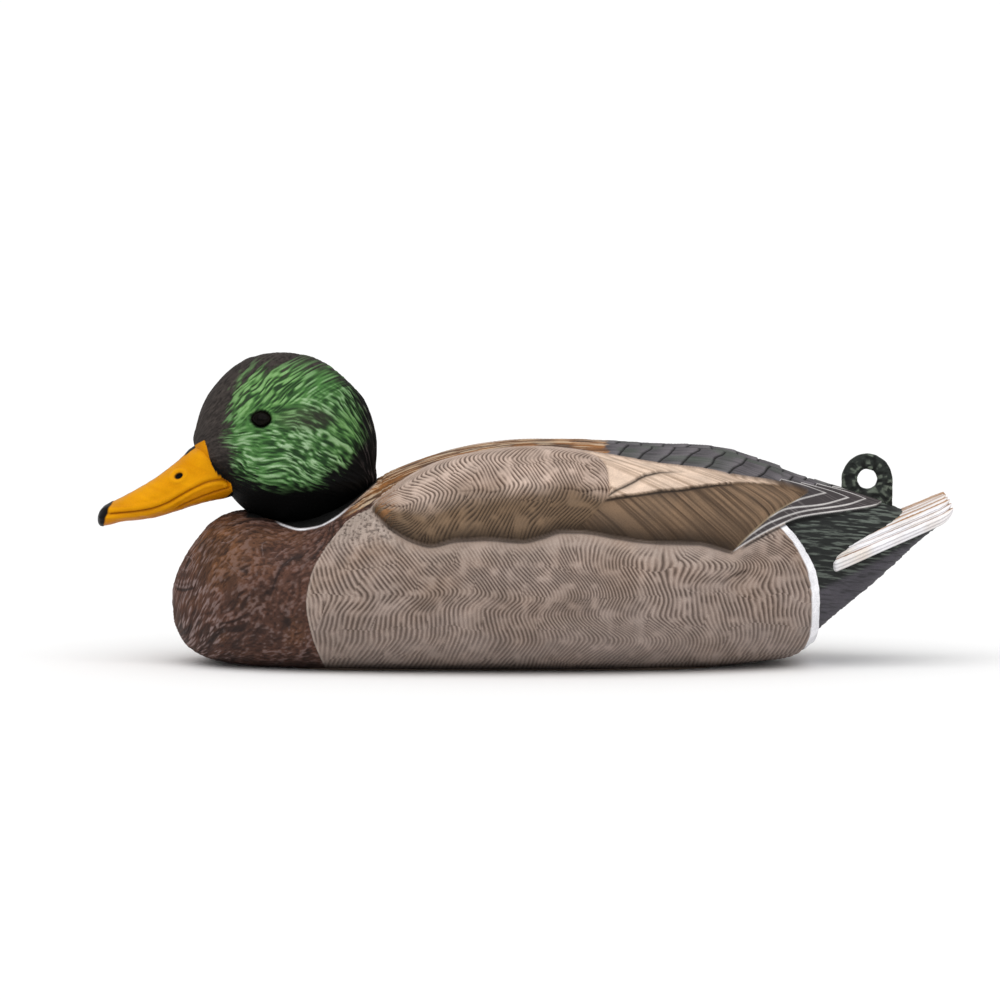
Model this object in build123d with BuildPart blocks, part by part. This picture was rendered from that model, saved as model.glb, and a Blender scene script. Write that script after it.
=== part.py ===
"""Floating duck decoy: a resting drake with a turning head, a ballasted hull and a tail loop.

Frame: +Z up, the bill points along -X and the duck's left side faces -Y. The origin is on the surface that the
decoy rests on, under the middle of its overall length. Everything is in millimetres.
"""

from build123d import *

import os
from math import copysign, cos, pi, radians, sin, sqrt

# Walls and gaps
WALL = 2.4
HEAD_WALL = 2.6
FLOOR_TOP = 7.0
RUNNING_GAP = 0.4
FIT_GAP = 0.1

# Body stations, breast to rump: x, half width, top, bottom, height of the widest point.
# Whatever lies below zero is cut off flat.
BODY_STATIONS = (
    (-166.8, 8.0, 37.5, 20.5, 29.0),
    (-163.5, 20.0, 46.5, 12.0, 30.0),
    (-157.0, 33.0, 57.0, 5.5, 31.5),
    (-147.0, 46.0, 68.0, 1.5, 33.5),
    (-132.0, 57.0, 72.5, -0.5, 35.5),
    (-112.0, 66.0, 69.5, -2.0, 37.0),
    (-90.0, 73.0, 75.5, -3.0, 38.5),
    (-70.0, 77.5, 87.5, -3.0, 39.5),
    (-45.0, 81.5, 98.0, -3.0, 40.5),
    (-10.0, 84.0, 105.0, -3.0, 41.5),
    (25.0, 83.5, 106.0, -3.0, 42.5),
    (60.0, 79.0, 104.0, -2.5, 43.5),
    (90.0, 72.0, 102.5, -1.0, 44.0),
    (112.0, 63.0, 97.5, 1.5, 44.5),
    (128.0, 52.5, 91.5, 4.5, 46.0),
    (138.0, 43.0, 87.5, 11.5, 49.0),
    (148.0, 34.5, 83.5, 21.5, 53.5),
    (162.0, 28.0, 79.0, 34.0, 58.5),
    (177.0, 23.5, 74.0, 48.0, 62.5),
    (188.0, 19.5, 70.5, 58.5, 65.0),
)
CAVITY_NOSE = (-162.5, 17.5, 45.5, 15.0, 30.0)
CAVITY_TAIL = (132.0, 47.0, 87.0, 14.0, 47.0)
SECTION_POINTS = 24
UPPER_POWER, LOWER_POWER = 2.15, 2.6

# Folded wing: a raised panel on each side, drawn in side view as (x, z)
WING_RELIEF = 3.0
WING_LOWER_EDGE = (
    (-71, 77), (-61, 68), (-46, 61.5), (-22, 64.5), (-1, 63.5), (22, 67.5), (57, 63),
    (80, 62.5), (97, 58), (121, 69), (147, 73.5), (168, 78),
)
WING_UPPER_EDGE = (
    (152, 83), (121, 90), (95, 92), (71, 96.5), (38, 101.5), (6, 104), (-18, 102.5), (-42, 97.5), (-62, 86),
)

# Head: horizontal ovals from the cheeks to the crown: height, centre x, half length, half width.
# The first one continues the ball that turns in the seat.
NECK_X, SEAT_Z = -107.5, 104.5
SEAT_RADIUS = 41.0
BALL_RADIUS = SEAT_RADIUS - RUNNING_GAP
BALL_TOP = 87.0
HEAD_OVALS = (
    (93.0, -110.5, 39.6, 37.0),
    (99.5, -112.9, 42.3, 36.4),
    (105.8, -114.1, 43.5, 35.2),
    (112.5, -114.1, 42.2, 33.6),
    (119.2, -114.1, 40.3, 31.4),
    (126.5, -114.2, 37.0, 28.0),
    (132.8, -114.8, 31.9, 23.8),
    (138.5, -115.2, 26.1, 18.8),
    (143.0, -115.4, 19.9, 13.8),
    (146.1, -115.4, 12.5, 8.2),
    (147.8, -115.2, 5.0, 3.6),
)

# Bill stations, face to tip: x, half width, top, bottom, fullness of the oval
BILL_STATIONS = (
    (-134.0, 13.0, 96.5, 81.5, 2.6),
    (-142.0, 17.0, 102.5, 78.5, 3.2),
    (-151.0, 17.8, 105.5, 76.8, 3.4),
    (-158.0, 16.2, 102.0, 74.7, 3.0),
    (-166.0, 14.2, 95.3, 72.1, 2.6),
    (-175.0, 13.2, 88.4, 69.3, 2.4),
    (-184.0, 13.2, 82.9, 67.9, 2.4),
    (-192.0, 13.4, 78.6, 67.1, 2.4),
    (-198.0, 12.0, 75.5, 65.5, 2.4),
    (-201.5, 8.6, 72.7, 65.3, 2.3),
    (-203.2, 3.6, 70.1, 66.7, 2.0),
)
TENON_FRONT, TENON_REAR, TENON_Z = -152.0, -138.0, 90.0
TENON_WIDTH, TENON_HEIGHT = 18.0, 10.0

# Eyes: beads with a stem, in a pad on the inside of the head
EYE_X, EYE_Y, EYE_Z = -125.0, 29.9, 115.5
EYE_RADIUS, EYE_STEM_RADIUS = 4.0, 1.5
EYE_PAD_RADIUS, EYE_PAD_Y, EYE_STEM_Y = 6.0, 22.0, 23.0

# Neck swivel, all on the vertical axis at NECK_X
BOLT_RADIUS, BOLT_BOTTOM = 3.0, 42.0
BUSH_RADIUS, BUSH_FLANGE_RADIUS = 5.0, 9.0
POCKET_FLOOR, BUSH_FLANGE_TOP = 62.9, 64.5
NECK_BOSS_RADIUS, NECK_BOSS_BOTTOM = 11.0, 52.0
PLUG_RADIUS, PLUG_BOTTOM, PLUG_TOP = 14.8, 64.9, 80.0
SOCKET_WALL = 2.6
BOLT_HEAD_BOTTOM, BOLT_HEAD_HEIGHT, HEX_ACROSS = 74.0, 4.0, 10.0
WASHER_RADIUS, WASHER_THICKNESS = 9.0, 1.6
SPRING_RADIUS, SPRING_THICKNESS = 6.0, 1.6
NUT_HEIGHT = 5.5

# Hull plate in the underside, with its gasket and screws
PLATE_X, PLATE_LENGTH, PLATE_WIDTH, PLATE_CORNER = -12.0, 190.0, 64.0, 30.0
LEDGE = 10.0
PLATE_BOTTOM, PLATE_TOP, RECESS_DEPTH = 0.5, 3.5, 4.5
SCREW_RADIUS, SCREW_HEAD_RADIUS, SCREW_HEAD_HEIGHT, SCREW_LENGTH = 1.75, 3.4, 2.0, 9.5
SCREW_BOSS_RADIUS, SCREW_BOSS_TOP = 4.4, 13.0
SCREW_ROW_Y = PLATE_WIDTH / 2 - LEDGE / 2
SCREW_ROW_STEP = 50.0
END_SCREW_X = PLATE_LENGTH / 2 - LEDGE / 2
DRIVE_SLOT_LENGTH, DRIVE_SLOT_WIDTH, DRIVE_SLOT_DEPTH = 3.6, 0.8, 0.9

# Ballast bar between the two line ties
BAR_LENGTH, BAR_WIDTH, BAR_THICKNESS = 76.0, 42.0, 9.0
BAR_POST_RADIUS, BAR_POST_SPACING = 4.0, 46.0

# Anchor line ties: a cross pin in a pocket, front and rear
TIE_OFFSET = BAR_LENGTH / 2 + 16.0
POCKET_LENGTH, POCKET_WIDTH, POCKET_TOP, POCKET_WALL = 26.0, 22.0, 13.0, 2.2
TIE_PIN_RADIUS, TIE_PIN_Z = 1.6, 6.0

# Drain plug
DRAIN_X, DRAIN_RADIUS, DRAIN_BOSS_TOP = PLATE_X + 77.0, 4.0, 6.0

# Tail loop and tail feathers
LOOP_X, LOOP_Z, LOOP_RADIUS, LOOP_HOLE_RADIUS, LOOP_THICKNESS = 163.0, 87.5, 12.0, 4.75, 8.0
LOOP_FOOT_Z = 69.0
FAN_TILT = radians(29)
FAN_START, FAN_LENGTH, FAN_THICKNESS, FAN_ARCH = 141.0, 76.0, 4.0, 10.0
FAN_EDGE_Z, FAN_HALF_SPAN = 39.0, 36.0
FAN_OUTLINE = ((144, 22), (150, 29), (161, 31.5), (176, 32), (192, 30), (199, 25), (202, 17), (203.2, 6))


def oval_points(half_width, top, bottom, widest, upper_power, lower_power):
    """Points round an oval whose upper and lower halves have their own fullness."""
    points = []
    for index in range(SECTION_POINTS):
        turn = 2 * pi * index / SECTION_POINTS - pi / 2
        across, rise = cos(turn), sin(turn)
        power = upper_power if rise >= 0 else lower_power
        reach = top - widest if rise >= 0 else widest - bottom
        y = half_width * copysign(abs(across) ** (2 / power), across)
        z = widest + reach * copysign(abs(rise) ** (2 / power), rise)
        points.append((y, z))
    return points


def cross_section(x, points):
    """A closed face across the body at x."""
    with BuildSketch(Plane.YZ.offset(x)) as section:
        with BuildLine():
            Spline(points, periodic=True)
        make_face()
    return section.sketch


def body_form(stations):
    """The solid lofted through body stations."""
    sections = [
        cross_section(x, oval_points(half_width, top, bottom, widest, UPPER_POWER, LOWER_POWER))
        for x, half_width, top, bottom, widest in stations
    ]
    with BuildPart() as form:
        loft(sections)
    return form.part


def body_hollow(wall, floor):
    """The body's inside at the given distance from its surface, with a flat floor."""
    ends = (CAVITY_NOSE, CAVITY_TAIL)
    middle = [station for station in BODY_STATIONS if ends[0][0] + 3 < station[0] < ends[1][0]]
    inset = [
        (x, half_width - wall, top - wall, bottom + wall, widest)
        for x, half_width, top, bottom, widest in middle
    ]
    extra = wall - WALL
    nose, tail = [
        (x + side * extra, half_width - extra, top - extra, bottom + extra, widest)
        for side, (x, half_width, top, bottom, widest) in zip((1, -1), ends)
    ]
    with BuildPart() as hollow:
        add(body_form([nose, *inset, tail]))
        split(bisect_by=Plane.XY.offset(floor), keep=Keep.TOP)
        with Locations((NECK_X, 0, SEAT_Z)):
            Sphere(SEAT_RADIUS + wall, mode=Mode.SUBTRACT)
    return hollow.part


def plate_outline(inset, bottom, top, mode=Mode.ADD):
    """The hull plate's rounded outline made smaller by inset, between two heights."""
    with BuildSketch(Plane.XY.offset(bottom)) as outline:
        with Locations((PLATE_X, 0)):
            RectangleRounded(PLATE_LENGTH - 2 * inset, PLATE_WIDTH - 2 * inset, PLATE_CORNER - inset)
    extrude(outline.sketch, amount=top - bottom, mode=mode)


def upright(x, y, bottom, top, radius, mode=Mode.ADD):
    """A vertical cylinder between two heights."""
    with Locations((x, y, bottom)):
        Cylinder(radius, top - bottom, align=(Align.CENTER, Align.CENTER, Align.MIN), mode=mode)


def block(x, y, bottom, length, width, height, mode=Mode.ADD):
    """A box standing on its bottom face."""
    with Locations((x, y, bottom)):
        Box(length, width, height, align=(Align.CENTER, Align.CENTER, Align.MIN), mode=mode)


def cross_slots(x, y, bottom):
    """The two crossed slots in a screw's head."""
    block(x, y, bottom, DRIVE_SLOT_LENGTH, DRIVE_SLOT_WIDTH, DRIVE_SLOT_DEPTH, Mode.SUBTRACT)
    block(x, y, bottom, DRIVE_SLOT_WIDTH, DRIVE_SLOT_LENGTH, DRIVE_SLOT_DEPTH, Mode.SUBTRACT)


def hex_prism(bottom, top, across, mode=Mode.ADD):
    """A hexagon on the neck axis, measured across its flats."""
    with BuildSketch(Plane.XY.offset(bottom)) as hexagon:
        with Locations((NECK_X, 0)):
            RegularPolygon(across / 2, 6, major_radius=False)
    extrude(hexagon.sketch, amount=top - bottom, mode=mode)


def save(builder, name):
    """Labels a finished piece and writes it."""
    builder.part.label = name
    export_step(builder.part, f"parts/{name}.step")


os.makedirs("parts", exist_ok=True)
hull_screw_places = [(PLATE_X + side * END_SCREW_X, 0) for side in (-1, 1)]
hull_screw_places += [
    (PLATE_X + step * SCREW_ROW_STEP, side * SCREW_ROW_Y) for side in (-1, 1) for step in (-1, 0, 1)
]
tie_places = {"front": PLATE_X - TIE_OFFSET - 4, "rear": PLATE_X + TIE_OFFSET}
bar_posts = [PLATE_X + side * BAR_POST_SPACING / 2 for side in (-1, 1)]

# ---- Tail feathers: an arched fan cut to its outline, let into the rump ----

with BuildPart() as tail_feathers:
    with BuildSketch(Plane.YZ.offset(FAN_START)):
        with BuildLine():
            upper = ThreePointArc(
                (-FAN_HALF_SPAN, FAN_EDGE_Z), (0, FAN_EDGE_Z + FAN_ARCH), (FAN_HALF_SPAN, FAN_EDGE_Z)
            )
            lower = ThreePointArc(
                (-FAN_HALF_SPAN, FAN_EDGE_Z - FAN_THICKNESS),
                (0, FAN_EDGE_Z + FAN_ARCH - FAN_THICKNESS),
                (FAN_HALF_SPAN, FAN_EDGE_Z - FAN_THICKNESS),
            )
            Line(upper @ 0, lower @ 0)
            Line(upper @ 1, lower @ 1)
        make_face()
    extrude(amount=FAN_LENGTH, dir=(cos(FAN_TILT), 0, sin(FAN_TILT)))
    with BuildSketch(Plane.XY):
        with BuildLine():
            right_edge = Spline(*FAN_OUTLINE)
            left_edge = Spline(*[(x, -y) for x, y in FAN_OUTLINE])
            Line(right_edge @ 0, left_edge @ 0)
            Line(right_edge @ 1, left_edge @ 1)
        make_face()
    extrude(amount=110, mode=Mode.INTERSECT)
save(tail_feathers, "tail_feathers")

# ---- Tail loop: an upright eye whose foot is bonded in the rump ----

with BuildPart() as tail_loop:
    with BuildSketch(Plane.XZ.offset(-LOOP_THICKNESS / 2)):
        with Locations((LOOP_X, LOOP_Z)):
            Circle(LOOP_RADIUS)
        with Locations((LOOP_X, LOOP_FOOT_Z)):
            Rectangle(2 * LOOP_RADIUS, LOOP_Z - LOOP_FOOT_Z, align=(Align.CENTER, Align.MIN))
        with Locations((LOOP_X, LOOP_Z)):
            Circle(LOOP_HOLE_RADIUS, mode=Mode.SUBTRACT)
    extrude(amount=LOOP_THICKNESS)
save(tail_loop, "tail_loop")

# ---- Body shell: breast, flanks, folded wings and rump in one moulding ----

with BuildPart() as wing_relief:
    raised = [
        (x, half_width + WING_RELIEF, top + WING_RELIEF, bottom, widest)
        for x, half_width, top, bottom, widest in BODY_STATIONS
    ]
    add(body_form(raised))
    with BuildSketch(Plane.XZ.offset(-150)):
        with BuildLine():
            low_edge = Spline(*WING_LOWER_EDGE)
            high_edge = Spline(*WING_UPPER_EDGE)
            Line(low_edge @ 1, high_edge @ 0)
            Line(high_edge @ 1, low_edge @ 0)
        make_face()
    extrude(amount=300, mode=Mode.INTERSECT)

with BuildPart() as cavity:
    add(body_hollow(WALL, FLOOR_TOP))
    upright(NECK_X, 0, NECK_BOSS_BOTTOM, POCKET_FLOOR + 2, NECK_BOSS_RADIUS, Mode.SUBTRACT)
    for screw_x, screw_y in hull_screw_places:
        upright(screw_x, screw_y, 0, SCREW_BOSS_TOP, SCREW_BOSS_RADIUS, Mode.SUBTRACT)

with BuildPart() as body_shell:
    add(body_form(BODY_STATIONS))
    add(wing_relief.part)
    split(bisect_by=Plane.XY, keep=Keep.TOP)
    with Locations((NECK_X, 0, SEAT_Z)):
        Sphere(SEAT_RADIUS, mode=Mode.SUBTRACT)
    add(cavity.part, mode=Mode.SUBTRACT)
    upright(NECK_X, 0, POCKET_FLOOR, POCKET_FLOOR + 6, BUSH_FLANGE_RADIUS + FIT_GAP, Mode.SUBTRACT)
    upright(NECK_X, 0, NECK_BOSS_BOTTOM, POCKET_FLOOR, BUSH_RADIUS, Mode.SUBTRACT)
    plate_outline(0, 0, RECESS_DEPTH, Mode.SUBTRACT)
    plate_outline(LEDGE, RECESS_DEPTH, FLOOR_TOP, Mode.SUBTRACT)
    for screw_x, screw_y in hull_screw_places:
        upright(screw_x, screw_y, RECESS_DEPTH, SCREW_BOSS_TOP - 1.5, SCREW_RADIUS, Mode.SUBTRACT)
    block(LOOP_X, 0, LOOP_FOOT_Z, 2 * LOOP_RADIUS, LOOP_THICKNESS, 40, Mode.SUBTRACT)
    add(tail_feathers.part, mode=Mode.SUBTRACT)
save(body_shell, "body_shell")

# ---- Foam core ----

with BuildPart() as foam_core:
    add(body_hollow(WALL + 2.5, 22.0))
    upright(NECK_X, 0, 30, 90, NECK_BOSS_RADIUS + 5, Mode.SUBTRACT)
save(foam_core, "foam_core")

# ---- Hull plate with its line-tie pockets, ballast posts and drain boss ----

with BuildPart() as hull_plate:
    plate_outline(0.2, PLATE_BOTTOM, PLATE_TOP)
    for tie_x in tie_places.values():
        block(
            tie_x, 0, PLATE_TOP, POCKET_LENGTH + 2 * POCKET_WALL, POCKET_WIDTH + 2 * POCKET_WALL,
            POCKET_TOP + POCKET_WALL - PLATE_TOP,
        )
        block(
            tie_x, 0, PLATE_BOTTOM, POCKET_LENGTH, POCKET_WIDTH, POCKET_TOP - PLATE_BOTTOM, Mode.SUBTRACT
        )
        with Locations(Location((tie_x, 0, TIE_PIN_Z), (90, 0, 0))):
            Cylinder(TIE_PIN_RADIUS, POCKET_WIDTH + 2 * POCKET_WALL, mode=Mode.SUBTRACT)
    for post_x in bar_posts:
        upright(post_x, 0, PLATE_TOP, PLATE_TOP + BAR_THICKNESS - FIT_GAP, BAR_POST_RADIUS)
        upright(post_x, 0, PLATE_TOP, PLATE_TOP + BAR_THICKNESS, SCREW_RADIUS, Mode.SUBTRACT)
    upright(DRAIN_X, 0, PLATE_TOP, DRAIN_BOSS_TOP, DRAIN_RADIUS + 2)
    upright(DRAIN_X, 0, PLATE_BOTTOM, DRAIN_BOSS_TOP, DRAIN_RADIUS, Mode.SUBTRACT)
    upright(DRAIN_X, 0, PLATE_BOTTOM, PLATE_BOTTOM + 1.2, DRAIN_RADIUS + 2.1, Mode.SUBTRACT)
    for screw_x, screw_y in hull_screw_places:
        upright(screw_x, screw_y, PLATE_BOTTOM, PLATE_TOP, SCREW_RADIUS + FIT_GAP, Mode.SUBTRACT)
        with Locations((screw_x, screw_y, PLATE_BOTTOM)):
            Cone(
                SCREW_HEAD_RADIUS + FIT_GAP, SCREW_RADIUS + FIT_GAP, SCREW_HEAD_HEIGHT,
                align=(Align.CENTER, Align.CENTER, Align.MIN), mode=Mode.SUBTRACT,
            )
save(hull_plate, "hull_plate")

with BuildPart() as hull_gasket:
    plate_outline(0.6, PLATE_TOP, RECESS_DEPTH)
    plate_outline(LEDGE - 0.5, PLATE_TOP, RECESS_DEPTH, Mode.SUBTRACT)
    for screw_x, screw_y in hull_screw_places:
        upright(screw_x, screw_y, PLATE_TOP, RECESS_DEPTH, SCREW_RADIUS + FIT_GAP, Mode.SUBTRACT)
save(hull_gasket, "hull_gasket")

with BuildPart() as hull_screws:
    for screw_x, screw_y in hull_screw_places:
        with Locations((screw_x, screw_y, PLATE_BOTTOM)):
            Cone(
                SCREW_HEAD_RADIUS, SCREW_RADIUS, SCREW_HEAD_HEIGHT,
                align=(Align.CENTER, Align.CENTER, Align.MIN),
            )
        upright(screw_x, screw_y, PLATE_BOTTOM, PLATE_BOTTOM + SCREW_LENGTH, SCREW_RADIUS)
        cross_slots(screw_x, screw_y, PLATE_BOTTOM)
save(hull_screws, "hull_screws")

# ---- Ballast bar and its washer-head screws ----

with BuildPart() as ballast_bar:
    with BuildSketch(Plane.XY.offset(PLATE_TOP)):
        with Locations((PLATE_X, 0)):
            RectangleRounded(BAR_LENGTH, BAR_WIDTH, 4)
            with GridLocations(BAR_POST_SPACING, 0, 2, 1):
                Circle(BAR_POST_RADIUS + FIT_GAP, mode=Mode.SUBTRACT)
    extrude(amount=BAR_THICKNESS)
    chamfer(ballast_bar.faces().sort_by(Axis.Z)[-1].outer_wire().edges(), 1.0)
save(ballast_bar, "ballast_bar")

with BuildPart() as ballast_screws:
    bar_top = PLATE_TOP + BAR_THICKNESS
    for post_x in bar_posts:
        upright(post_x, 0, PLATE_TOP + 1, bar_top, SCREW_RADIUS)
        upright(post_x, 0, bar_top, bar_top + 1.2, 7.0)
        upright(post_x, 0, bar_top, bar_top + 3.6, SCREW_HEAD_RADIUS)
        cross_slots(post_x, 0, bar_top + 3.6 - DRIVE_SLOT_DEPTH)
save(ballast_screws, "ballast_screws")

# ---- Anchor line pins, drain plug and its ring ----

for place, tie_x in tie_places.items():
    with BuildPart() as line_pin:
        with Locations(Location((tie_x, 0, TIE_PIN_Z), (90, 0, 0))):
            Cylinder(TIE_PIN_RADIUS, POCKET_WIDTH + 2 * POCKET_WALL)
    save(line_pin, f"{place}_line_pin")

with BuildPart() as drain_plug:
    upright(DRAIN_X, 0, PLATE_BOTTOM, PLATE_BOTTOM + 1.1, DRAIN_RADIUS + 2)
    upright(DRAIN_X, 0, PLATE_BOTTOM, DRAIN_BOSS_TOP + 0.1, DRAIN_RADIUS - FIT_GAP / 2)
    with Locations((DRAIN_X, 0, DRAIN_BOSS_TOP + 0.1)):
        Cone(
            DRAIN_RADIUS + 0.7, DRAIN_RADIUS - 1, 2.0, align=(Align.CENTER, Align.CENTER, Align.MIN)
        )
    upright(DRAIN_X, 0, PLATE_BOTTOM, PLATE_BOTTOM + 4, 1.5, Mode.SUBTRACT)
save(drain_plug, "drain_plug")

# ---- Head shell: a ball that turns in the seat, ovals above it, hollow, with a socket for the neck plug ----


def head_form(inset):
    """The head's outer form made smaller all round by inset."""
    ball_radius = BALL_RADIUS - inset
    join_radius = sqrt(ball_radius**2 - (SEAT_Z - BALL_TOP) ** 2)
    crown = HEAD_OVALS[-1][0]
    ovals = []
    for height, centre, half_length, half_width in ((BALL_TOP, NECK_X, join_radius, join_radius), *HEAD_OVALS):
        lowered = height - inset * (height - BALL_TOP) / (crown - BALL_TOP)
        trim = 0 if height == BALL_TOP else inset
        with BuildSketch(Plane.XY.offset(lowered)) as oval:
            with Locations((centre, 0)):
                Ellipse(half_length - trim, half_width - trim)
        ovals.append(oval.sketch)
    with BuildPart() as form:
        with Locations((NECK_X, 0, SEAT_Z)):
            Sphere(ball_radius)
        split(bisect_by=Plane.XY.offset(BALL_TOP), keep=Keep.BOTTOM)
        loft(ovals)
    return form.part


head_outside = head_form(0)

with BuildPart() as head_pads:
    upright(NECK_X, 0, 60, PLUG_TOP, PLUG_RADIUS + SOCKET_WALL)
    for side in (-1, 1):
        with Locations(Location((EYE_X, side * (EYE_Y + EYE_PAD_Y) / 2, EYE_Z), (90, 0, 0))):
            Cylinder(EYE_PAD_RADIUS, EYE_Y - EYE_PAD_Y)
    add(head_outside, mode=Mode.INTERSECT)


def eye_bead(side, mode=Mode.ADD):
    """A bead on its stem, on the left side for -1 and on the right for 1."""
    with Locations(Location((EYE_X, side * EYE_Y, EYE_Z), (90, 0, 0))):
        Sphere(EYE_RADIUS, mode=mode)
    with Locations(Location((EYE_X, side * (EYE_Y + EYE_STEM_Y) / 2, EYE_Z), (90, 0, 0))):
        Cylinder(EYE_STEM_RADIUS, EYE_Y - EYE_STEM_Y, mode=mode)


with BuildPart() as head_shell:
    add(head_outside)
    add(head_form(HEAD_WALL), mode=Mode.SUBTRACT)
    add(head_pads.part)
    upright(NECK_X, 0, 60, PLUG_TOP, PLUG_RADIUS, Mode.SUBTRACT)
    for side in (-1, 1):
        eye_bead(side, Mode.SUBTRACT)
    block(
        (TENON_FRONT + TENON_REAR) / 2, 0, TENON_Z - TENON_HEIGHT / 2,
        TENON_REAR - TENON_FRONT, TENON_WIDTH, TENON_HEIGHT, Mode.SUBTRACT,
    )
save(head_shell, "head_shell")

# ---- Eyes ----

for name, side in (("eye_left", -1), ("eye_right", 1)):
    with BuildPart() as eye:
        eye_bead(side)
    save(eye, name)

# ---- Bill ----

with BuildPart() as bill:
    loft([
        cross_section(x, oval_points(half_width, top, bottom, (top + bottom) / 2, power, power))
        for x, half_width, top, bottom, power in BILL_STATIONS
    ])
    add(head_outside, mode=Mode.SUBTRACT)
    block(
        (TENON_FRONT + TENON_REAR) / 2, 0, TENON_Z - TENON_HEIGHT / 2,
        TENON_REAR - TENON_FRONT, TENON_WIDTH, TENON_HEIGHT,
    )
save(bill, "bill")

# ---- Neck swivel: plug, bolt, bush, washers and lock nut ----

with BuildPart() as neck_plug:
    upright(NECK_X, 0, PLUG_BOTTOM, PLUG_TOP, PLUG_RADIUS)
    with Locations((NECK_X, 0, SEAT_Z)):
        Sphere(BALL_RADIUS, mode=Mode.INTERSECT)
    upright(NECK_X, 0, PLUG_BOTTOM, BOLT_HEAD_BOTTOM, BOLT_RADIUS, Mode.SUBTRACT)
    hex_prism(BOLT_HEAD_BOTTOM, PLUG_TOP, HEX_ACROSS, Mode.SUBTRACT)
save(neck_plug, "neck_plug")

with BuildPart() as neck_bolt:
    hex_prism(BOLT_HEAD_BOTTOM, BOLT_HEAD_BOTTOM + BOLT_HEAD_HEIGHT, HEX_ACROSS)
    upright(NECK_X, 0, BOLT_BOTTOM, BOLT_HEAD_BOTTOM, BOLT_RADIUS)
save(neck_bolt, "neck_bolt")

with BuildPart() as neck_bush:
    upright(NECK_X, 0, NECK_BOSS_BOTTOM, POCKET_FLOOR, BUSH_RADIUS)
    upright(NECK_X, 0, POCKET_FLOOR, BUSH_FLANGE_TOP, BUSH_FLANGE_RADIUS)
    upright(NECK_X, 0, NECK_BOSS_BOTTOM, BUSH_FLANGE_TOP, BOLT_RADIUS + 0.08, Mode.SUBTRACT)
save(neck_bush, "neck_bush")

washer_top = NECK_BOSS_BOTTOM - 0.15
with BuildPart() as neck_washer:
    upright(NECK_X, 0, washer_top - WASHER_THICKNESS, washer_top, WASHER_RADIUS)
    upright(NECK_X, 0, washer_top - WASHER_THICKNESS, washer_top, BOLT_RADIUS, Mode.SUBTRACT)
save(neck_washer, "neck_washer")

spring_top = washer_top - WASHER_THICKNESS
with BuildPart() as spring_washer:
    upright(NECK_X, 0, spring_top - SPRING_THICKNESS, spring_top, SPRING_RADIUS)
    upright(NECK_X, 0, spring_top - SPRING_THICKNESS, spring_top, BOLT_RADIUS, Mode.SUBTRACT)
save(spring_washer, "spring_washer")

nut_top = spring_top - SPRING_THICKNESS
with BuildPart() as lock_nut:
    hex_prism(nut_top - NUT_HEIGHT, nut_top, HEX_ACROSS)
    upright(NECK_X, 0, nut_top - NUT_HEIGHT, nut_top, BOLT_RADIUS, Mode.SUBTRACT)
save(lock_nut, "lock_nut")
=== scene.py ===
"""Floating duck decoy: painted, feather-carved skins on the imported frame.

Lengths inside the shape code are millimetres in the part's frame (bill along -X, +Z up), and become metres
when a mesh is made. Side features are drawn in a side view: x, and the height at which they show from four
degrees above. Soft edges' widths and relief depths are millimetres too, and paint strengths run from 0 to 1.
"""
from math import cos, pi, radians, sin
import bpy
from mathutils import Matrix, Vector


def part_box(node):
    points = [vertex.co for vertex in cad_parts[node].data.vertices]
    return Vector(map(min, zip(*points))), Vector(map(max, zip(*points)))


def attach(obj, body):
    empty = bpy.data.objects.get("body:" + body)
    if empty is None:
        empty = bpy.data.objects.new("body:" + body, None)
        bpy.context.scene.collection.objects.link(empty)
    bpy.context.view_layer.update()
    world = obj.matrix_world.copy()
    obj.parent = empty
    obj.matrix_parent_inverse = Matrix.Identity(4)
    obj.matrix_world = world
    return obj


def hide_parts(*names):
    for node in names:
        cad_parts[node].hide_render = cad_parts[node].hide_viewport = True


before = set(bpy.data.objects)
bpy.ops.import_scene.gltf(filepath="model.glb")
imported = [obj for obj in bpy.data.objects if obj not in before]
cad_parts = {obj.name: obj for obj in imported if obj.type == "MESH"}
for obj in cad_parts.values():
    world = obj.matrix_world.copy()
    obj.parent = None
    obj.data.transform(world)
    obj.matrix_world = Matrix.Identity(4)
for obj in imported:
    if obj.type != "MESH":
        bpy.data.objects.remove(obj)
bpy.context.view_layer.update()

from types import SimpleNamespace

import bpy
import numpy as np
from mathutils import Vector

MM = 0.001
VIEW_TILT = radians(4)
VIEW_RISE = 3.5
ROW_STEP, COLUMN_STEP = 0.46, 0.52
NOISE_CELLS = 256


# ---- Numbers: curves, noise and easing ----


def smooth(at, knots, values, slopes=None):
    """A smooth curve through values at knots, read at the places in at, and level outside them."""
    knots = np.asarray(knots, float)
    values = np.asarray(values, float)
    if slopes is None:
        slopes = np.gradient(values, knots, axis=0)
    at = np.clip(at, knots[0], knots[-1])
    low = np.clip(np.searchsorted(knots, at) - 1, 0, len(knots) - 2)
    step = knots[low + 1] - knots[low]
    t = (at - knots[low]) / step
    if values.ndim > 1:
        t = t[..., None]
        step = step[..., None]
    rise = t * t * (3 - 2 * t)
    lead = t * (1 - t) ** 2
    trail = t * t * (t - 1)
    return (
        values[low] * (1 - rise) + values[low + 1] * rise
        + step * (slopes[low] * lead + slopes[low + 1] * trail)
    )


def along(points, at, axis=0):
    """A drawn curve's other coordinate, read along x (axis 0) or along height (axis 1), with no overshoot."""
    points = np.asarray(sorted(points, key=lambda point: point[axis]), float)
    knots, values = points[:, axis], points[:, 1 - axis]
    runs = np.diff(values) / np.diff(knots)
    before, after = runs[:-1], runs[1:]
    same_way = before * after > 0
    inner = np.where(same_way, 2 * before * after / np.where(same_way, before + after, 1), 0)
    return smooth(at, knots, values, np.concatenate([runs[:1], inner, runs[-1:]]))


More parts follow.
